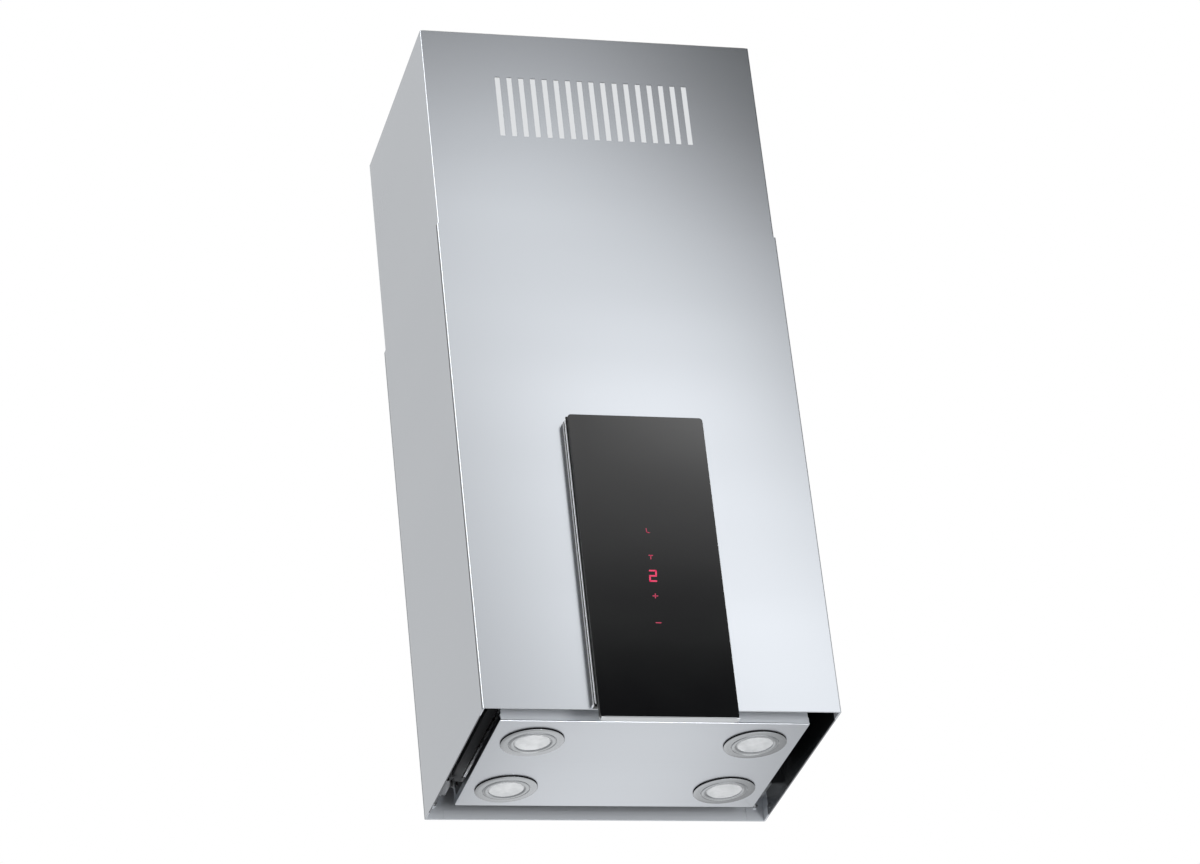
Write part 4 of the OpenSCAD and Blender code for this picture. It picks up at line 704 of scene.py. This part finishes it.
def turned(name, outline, centre, material):
    """An outline turned about the upright axis through centre: x and y are the radius times the
    cosine and sine of equal steps round. It starts and ends on the axis, or is a loop."""
    angle = np.arange(steps_round) * (2 * math.pi / steps_round)
    capped = outline[0, 0] == 0
    rows = outline[1:-1] if capped else outline
    points = np.stack([np.outer(rows[:, 0], np.cos(angle)), np.outer(rows[:, 0], np.sin(angle)),
                       np.outer(rows[:, 1], np.ones(steps_round))], 2).reshape(-1, 3)
    here = np.arange(len(points)).reshape(len(rows), steps_round)
    there = np.roll(here, -1, axis=1)
    caps = []
    if capped:
        points = np.concatenate([points, [(0, 0, outline[0, 1]), (0, 0, outline[-1, 1])]])
        caps = fans(here, there, len(points))
    else:
        here, there = np.concatenate([here, here[:1]]), np.concatenate([there, there[:1]])
    quads = np.stack([here[:-1], here[1:], there[1:], there[:-1]], 2).reshape(-1, 4).tolist()
    return new_piece(name, points + np.array(centre), quads + caps, material, crease=32)


# each ring is flat black: painted shade between the bezel's rim and the panel
rim_shade_black = coated("lamp_gasket_foam", (0.004, 0.004, 0.0045), 0.9, 0.0001, 0.05)
for corner in corners:
    low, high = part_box(f"lamp_housing_{corner}")
    centre = (low.x + high.x) / 2, (low.y + high.y) / 2, panel_low.z
    piece = turned(f"lamp_bezel_{corner}", housing_outline, centre, bezel_metal)
    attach(piece, "suction_tray")
    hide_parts(f"lamp_housing_{corner}")
    ring = turned(f"lamp_gasket_{corner}", rim_shade_outline, centre, rim_shade_black)
    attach(ring, "suction_tray")
lens_glass = speckled("lamp_frosted_glass", (55, 55, 55), (0.54, 0.56, 0.58), (0.74, 0.76, 0.78),
                      roughness=0.12, spread=0.12, bump=(0.0006, 0.3), detail=4.0)
shader = lens_glass.node_tree.nodes["Principled BSDF"]
shader.inputs["Coat Weight"].default_value = 0.5
shader.inputs["Coat Roughness"].default_value = 0.05
dress(lens_glass, *[f"lamp_lens_{corner}" for corner in corners])

# ---------------------------------------------------------------- grease filter
# An aluminium cassette that lies on the air box's rim, held by a sprung black latch. It holds
# expanded mesh in pleats.
dress(galvanised("filter_aluminium", (0.66, 0.67, 0.68), 0.36), "filter_frame")
low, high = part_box("filter_mesh")
strand_pitch, half_cell, strand_w, strand_h = 0.002, 0.00225, 0.0005, 0.0004
fold, mesh_thick = 0.004, 0.0009
latch_half, latch_back = 0.0285, -0.0672  # of the block in the mesh that holds the latch


def expanded_mesh():
    """Slit and stretched aluminium folded into pleats, as closed four-sided strands that run back.

    Strand i is a zigzag: at step j its x is the strand's own x plus or minus half the pitch, with
    the sign changing with i + j, so that neighbours meet and part and leave diamonds open. The
    height is a triangle wave of x, one fold up and one fold down, between the two faces."""
    strands = int(round((high.x - low.x) / strand_pitch)) - 1
    steps = int(round((high.y - low.y) / half_cell))
    own_x = (np.arange(strands) - (strands - 1) / 2) * strand_pitch
    y = np.linspace(low.y, high.y, steps + 1)
    sign = 1 - 2 * ((np.arange(strands)[:, None] + np.arange(steps + 1)[None, :]) % 2)
    reach = strand_pitch / 2 - strand_w / 3
    side = np.array([-1, 1, 1, -1]) * strand_w / 2
    lift = np.array([-1, -1, 1, 1]) * strand_h / 2
    x = own_x[:, None, None] + sign[:, :, None] * reach + side
    phase = np.mod((x - low.x) / fold, 2.0)
    rise = (high.z - low.z - mesh_thick) * (1 - np.abs(phase - 1))
    z = low.z + mesh_thick / 2 + rise + lift
    points = np.stack([x, np.broadcast_to(y[None, :, None], x.shape), z], 3).reshape(-1, 3)
    ring = np.arange(len(points)).reshape(strands, steps + 1, 4)
    beside = np.roll(ring, -1, axis=2)
    sides = np.stack([ring[:, :-1], ring[:, 1:], beside[:, 1:], beside[:, :-1]], 3)
    latch_step = int(np.ceil((latch_back - low.y) / (y[1] - y[0])))
    begin = np.where(np.abs(own_x) < latch_half, latch_step, 0)
    kept = np.arange(steps)[None, :] >= begin[:, None]
    near_ends, far_ends = ring[np.arange(strands), begin], ring[:, -1, ::-1]
    faces = np.concatenate([sides[kept].reshape(-1, 4), near_ends, far_ends])
    used, faces = np.unique(faces, return_inverse=True)
    return points[used], faces.reshape(-1, 4).tolist()


strand_metal = speckled("stretched_aluminium", (260, 260, 260), (0.60, 0.61, 0.62),
                        (0.78, 0.79, 0.80), roughness=0.22, spread=0.2, bump=(0.00003, 0.2),
                        metallic=1.0)
pleats = new_piece("filter_pleats", *expanded_mesh(), strand_metal)
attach(pleats, "hood")
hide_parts("filter_mesh")
dress(coated("black_plastic", (0.018, 0.018, 0.020), 0.38), "filter_latch", "duct_spigot",
      "terminal_box", "terminal_lid", "cable_gland")

low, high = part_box("latch_spring")
wire_r, wire_sides, coils, steps_a_coil = 0.00022, 6, 6, 20
coil_r, middle_z = high.x - wire_r, (low.z + high.z) / 2
turn = np.linspace(0, 2 * math.pi * coils, coils * steps_a_coil + 1)
spin = np.arange(wire_sides) * (2 * math.pi / wire_sides)
# a helix about the latch's line: each wire section leans out along the coil's own radius
out_r = coil_r + wire_r * np.cos(spin)
advance = low.y + wire_r + (high.y - low.y - 2 * wire_r) * turn / turn[-1]
points = np.stack([np.outer(np.cos(turn), out_r), np.add.outer(advance, wire_r * np.sin(spin)),
                   middle_z + np.outer(np.sin(turn), out_r)], 2).reshape(-1, 3)
ring = np.arange(len(points)).reshape(len(turn), wire_sides)
beside = np.roll(ring, -1, axis=1)
faces = np.stack([ring[:-1], beside[:-1], beside[1:], ring[1:]], 2).reshape(-1, 4).tolist()
faces += [ring[0, ::-1].tolist(), ring[-1].tolist()]
coil = new_piece("latch_coil", points, faces, fastener, crease=180)
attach(coil, "hood")
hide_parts("latch_spring")
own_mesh(coil)

# ---------------------------------------------------------------- blower
# A moulded grey scroll in two halves, a forward-curved impeller, and a motor on rubber mounts.
# The motor's running capacitor and the lamps' driver have white housings.
dress(coated("grey_plastic", (0.42, 0.43, 0.44), 0.42), "scroll_front", "scroll_back", "impeller")
dress(coated("motor_enamel", (0.10, 0.11, 0.12), 0.35), "motor")
dress(coated("rubber", (0.02, 0.02, 0.02), 0.72, 0.0001), "motor_grommets")
dress(coated("white_plastic", (0.78, 0.78, 0.76), 0.38), "capacitor", "lamp_driver")

# ---------------------------------------------------------------- outlet
# The flaps of the duct outlet lift with the airstream and fall back by their own weight. They are
# thin mouldings in a grey that is a little darker than the scroll's.
dress(coated("flap_plastic", (0.30, 0.31, 0.32), 0.45), "damper_flap_left", "damper_flap_right")

# ---------------------------------------------------------------- control
# A sheet of black glass on a carrier, with a touch board pressed against its back. Lit marks
# show through the glass: a lamp, a timer, the speed as a digit, plus and minus.
glass_low, glass_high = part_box("control_glass")
ground = 0.0002  # how deep the ground edges of the glass are, and the painted shadow line on the base plate's edges
black_glass, tree, shader = paint_for("black_glass")
smear = noise(tree, (7, 7, 11), 4.0)
tones = ramp(tree, smear, (0.3, (0.0035, 0.0035, 0.004)), (0.7, (0.0055, 0.0058, 0.006)))
link(tree, tones, shader.inputs["Base Color"])
edging = beyond(tree, object_axes(tree)[0], glass_high.x - ground)
polish = arithmetic(tree, "MULTIPLY_ADD", smear, 0.03, 0.015)
link(tree, arithmetic(tree, "MULTIPLY_ADD", edging, 0.6, polish), shader.inputs["Roughness"])
shader.inputs["IOR"].default_value = 1.5
bumps(tree, shader, (smear, 0.0002, 0.02))
glass_sheet = eased("control_glass", 0.0006)
glass_sheet.data.materials.clear()
glass_sheet.data.materials.append(black_glass)
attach(glass_sheet, "hood")
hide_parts("control_glass")
glass_card.light_linking.receiver_collection.objects.link(glass_sheet)
front_lights = front_card.light_linking.receiver_collection
front_lights.objects.link(glass_sheet)
for state in front_lights.collection_objects:
    state.light_linking.link_state = "EXCLUDE"
dress(coated("green_board", (0.02, 0.12, 0.05), 0.35), "touch_board")
dress(coated("black_foam", (0.012, 0.012, 0.013), 0.9, 0.0002, 0.1), "control_spacer")
satin_grain = (3, 3, 900)
carrier_steel = speckled("carrier_satin_steel", satin_grain, (0.56, 0.58, 0.60),
                         (0.62, 0.64, 0.66), roughness=0.26, spread=0.08, bump=(0.00002, 0.1),
                         metallic=1.0)
dress(carrier_steel, "glass_carrier")

# the base plate is steel along its sides; the black between them is painted shade beside the
# glass, and the dark grey on its edge faces is a painted shadow line against the casing
painted_shade_black = (0.010, 0.010, 0.011)
base_low, base_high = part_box("control_base")
base_steel, tree, shader = paint_for("base_satin_steel_and_painted_shade")
x, _, _ = object_axes(tree)
edging, steel_share = beyond(tree, x, base_high.x - ground), beyond(tree, x, base_high.x - 0.0015)
satin = noise(tree, satin_grain)
steel = ramp(tree, satin, (0.3, (0.80, 0.82, 0.85)), (0.7, (0.86, 0.88, 0.91)))
face = two_tone(tree, steel_share, painted_shade_black, steel)
link(tree, two_tone(tree, edging, face, (0.05, 0.052, 0.055)), shader.inputs["Base Color"])
link(tree, arithmetic(tree, "MULTIPLY_ADD", edging, -0.15, 0.15), shader.inputs["Metallic"])
gloss = arithmetic(tree, "MULTIPLY_ADD", edging, 0.2, 0.34)
link(tree, arithmetic(tree, "MULTIPLY_ADD", satin, 0.06, gloss), shader.inputs["Roughness"])
dress(base_steel, "control_base")

# The carrier's foot is a bright ledge that the glass stands on, with rolled edges and flat ends.
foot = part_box("glass_carrier")[0]
ledge_half, roll, glass_clear, foot_drop = 0.0767, 0.0005, 0.00002, 0.00005
ledge_top = glass_low.z - glass_clear
swing = np.linspace(0, math.pi / 2, 5)
# quarter rounds at the lower and the upper front edge, then straight back
section = np.concatenate([
    np.stack([foot.y + roll - roll * np.sin(swing), foot.z + roll - roll * np.cos(swing)], 1),
    np.stack([foot.y + roll - roll * np.cos(swing), ledge_top - roll + roll * np.sin(swing)], 1),
    [(glass_high.y, ledge_top), (glass_high.y, foot.z - foot_drop)]])
n = len(section)
points = np.concatenate([np.insert(section, 0, x, axis=1) for x in (-ledge_half, ledge_half)])
here = np.arange(n)
ahead = np.roll(here, -1)
faces = np.stack([here, here + n, ahead + n, ahead], 1).tolist()
faces += [here.tolist(), (here[::-1] + n).tolist()]
glass_ledge = new_piece("glass_ledge", points, faces, carrier_steel)
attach(glass_ledge, "hood")

# A folded steel rim stands round the back edge of the glass. Only its outer band along the sides
# shows steel; the rest, next to the glass, is painted black as shade in the gap between them.
rim_out, rim_in, rim_thick, rim_corner, rim_steel_band = 0.0024, 0.0006, 0.0012, 0.0032, 0.0013
rim_width, soft_edge = rim_out + rim_in, 0.0002
rim_paint, tree, shader = paint_for("rim_steel_and_painted_shade")
# the rim is black, as painted shade, except on its outer band along the sides
steel_share = beyond(tree, object_axes(tree)[0], glass_high.x + rim_out - rim_steel_band)
satin = noise(tree, satin_grain)
steel = ramp(tree, satin, (0.3, (0.50, 0.52, 0.54)), (0.7, (0.56, 0.58, 0.60)))
link(tree, two_tone(tree, steel_share, painted_shade_black, steel), shader.inputs["Base Color"])
link(tree, arithmetic(tree, "MULTIPLY", steel_share, 0.25), shader.inputs["Metallic"])
link(tree, arithmetic(tree, "MULTIPLY_ADD", satin, 0.08, 0.30), shader.inputs["Roughness"])
# the rim goes round a rectangle with rounded corners, and each point of its section lies so far
# inside that outline and so far behind the glass
arc = np.concatenate([np.linspace(0, math.pi / 2, 9) + k * math.pi / 2 for k in range(4)])
corner_x = np.repeat([1, -1, -1, 1], 9) * (glass_high.x + rim_out - rim_corner)
corner_z = np.repeat([glass_high.z - rim_corner, base_low.z + rim_corner], 18)
section = np.array([(0, rim_thick), (0, soft_edge), (soft_edge, 0), (rim_width, 0),
                    (rim_width, rim_thick)])
radius = rim_corner - section[:, 0]
points = np.stack([corner_x[:, None] + np.outer(np.cos(arc), radius),
                   np.tile(glass_high.y + section[:, 1], (len(arc), 1)),
                   corner_z[:, None] + np.outer(np.sin(arc), radius)], 2).reshape(-1, 3)
ring = np.arange(len(points)).reshape(len(arc), len(section))
ahead, beside = np.roll(ring, -1, axis=0), np.roll(ring, -1, axis=1)
faces = np.stack([ring, beside, np.roll(ahead, -1, axis=1), ahead], 2).reshape(-1, 4).tolist()
glass_rim = new_piece("glass_rim", points, faces, rim_paint)
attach(glass_rim, "hood")

red = (0.74, 0.020, 0.10)
mark_size, mark_lift, mark_slant, marks_x = 0.0126, 0.00012, 0.06, -0.001


def bars(strokes, width):
    """Flat bars with round ends: each is a half circle swept round one end of a stroke and back
    round the other, filled as a fan, with a front and a rim that reaches back to the glass."""
    x0, z0, x1, z1 = np.array(strokes).T[:, :, None]
    turn = np.arctan2(z1 - z0, x1 - x0) + np.linspace(-math.pi / 2, math.pi / 2, 7)
    round_x, round_z = width / 2 * np.cos(turn), width / 2 * np.sin(turn)
    z = np.hstack([z1 + round_z, z0 - round_z])
    x = np.hstack([x1 + round_x, x0 - round_x]) + mark_slant * z
    front = np.stack([x, np.full_like(x, -mark_lift), z], 2)
    points = np.stack([front, front * (1, 0, 1)], 1).reshape(-1, 3)
    here = np.arange(len(points)).reshape(len(x), 2, -1)[:, 0]
    ahead, n = np.roll(here, -1, axis=1), here.shape[1]
    rims = np.stack([here, here + n, ahead + n, ahead], 2).reshape(-1, 4)
    return points, here.tolist() + rims.tolist()


def mark(name, strokes, width, middle_z, strength):
    """A lit red mark on the glass, centred at that height above the casing's lower edge."""
    material, tree, shader = paint_for(name + "_light")
    speckle = noise(tree, (700, 700, 700))
    shader.inputs["Base Color"].default_value = (0.10, 0.004, 0.02, 1)
    shader.inputs["Roughness"].default_value = 0.1
    tones = ramp(tree, speckle, (0.2, [c * 0.82 for c in red]), (0.8, red))
    link(tree, tones, shader.inputs["Emission Color"])
    shader.inputs["Emission Strength"].default_value = strength
    points, faces = bars(strokes, width)
    points += (marks_x, glass_low.y, casing_foot + middle_z)
    piece = new_piece(name, points, faces, material)
    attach(piece, "hood")


# each mark's strokes are x and z of their two ends, from the middle of the mark
h, w, gap = mark_size / 2, mark_size * 0.28, 0.001
mark("speed_mark", [(-w, h, w, h), (w, h, w, gap), (w, 0, -w, 0), (-w, -gap, -w, -h),
                    (-w, -h, w, -h)], 0.0019, 0.1513, 0.95)
mark("lamp_mark", [(-0.0017, 0.0026, -0.0012, -0.0018), (-0.0012, -0.0018, 0.0016, -0.0024)],
     0.0010, 0.2063, 0.36)
mark("timer_mark", [(-0.0021, 0.0021, 0.0021, 0.0021), (0, 0.002, 0, -0.0024)],
     0.0010, 0.1741, 0.50)
mark("plus_mark", [(-0.0027, 0, 0.0027, 0), (0, 0.0025, 0, -0.0025)], 0.0011, 0.1270, 0.50)
mark("minus_mark", [(-0.0027, 0, 0.0027, 0)], 0.0012, 0.0948, 0.44)
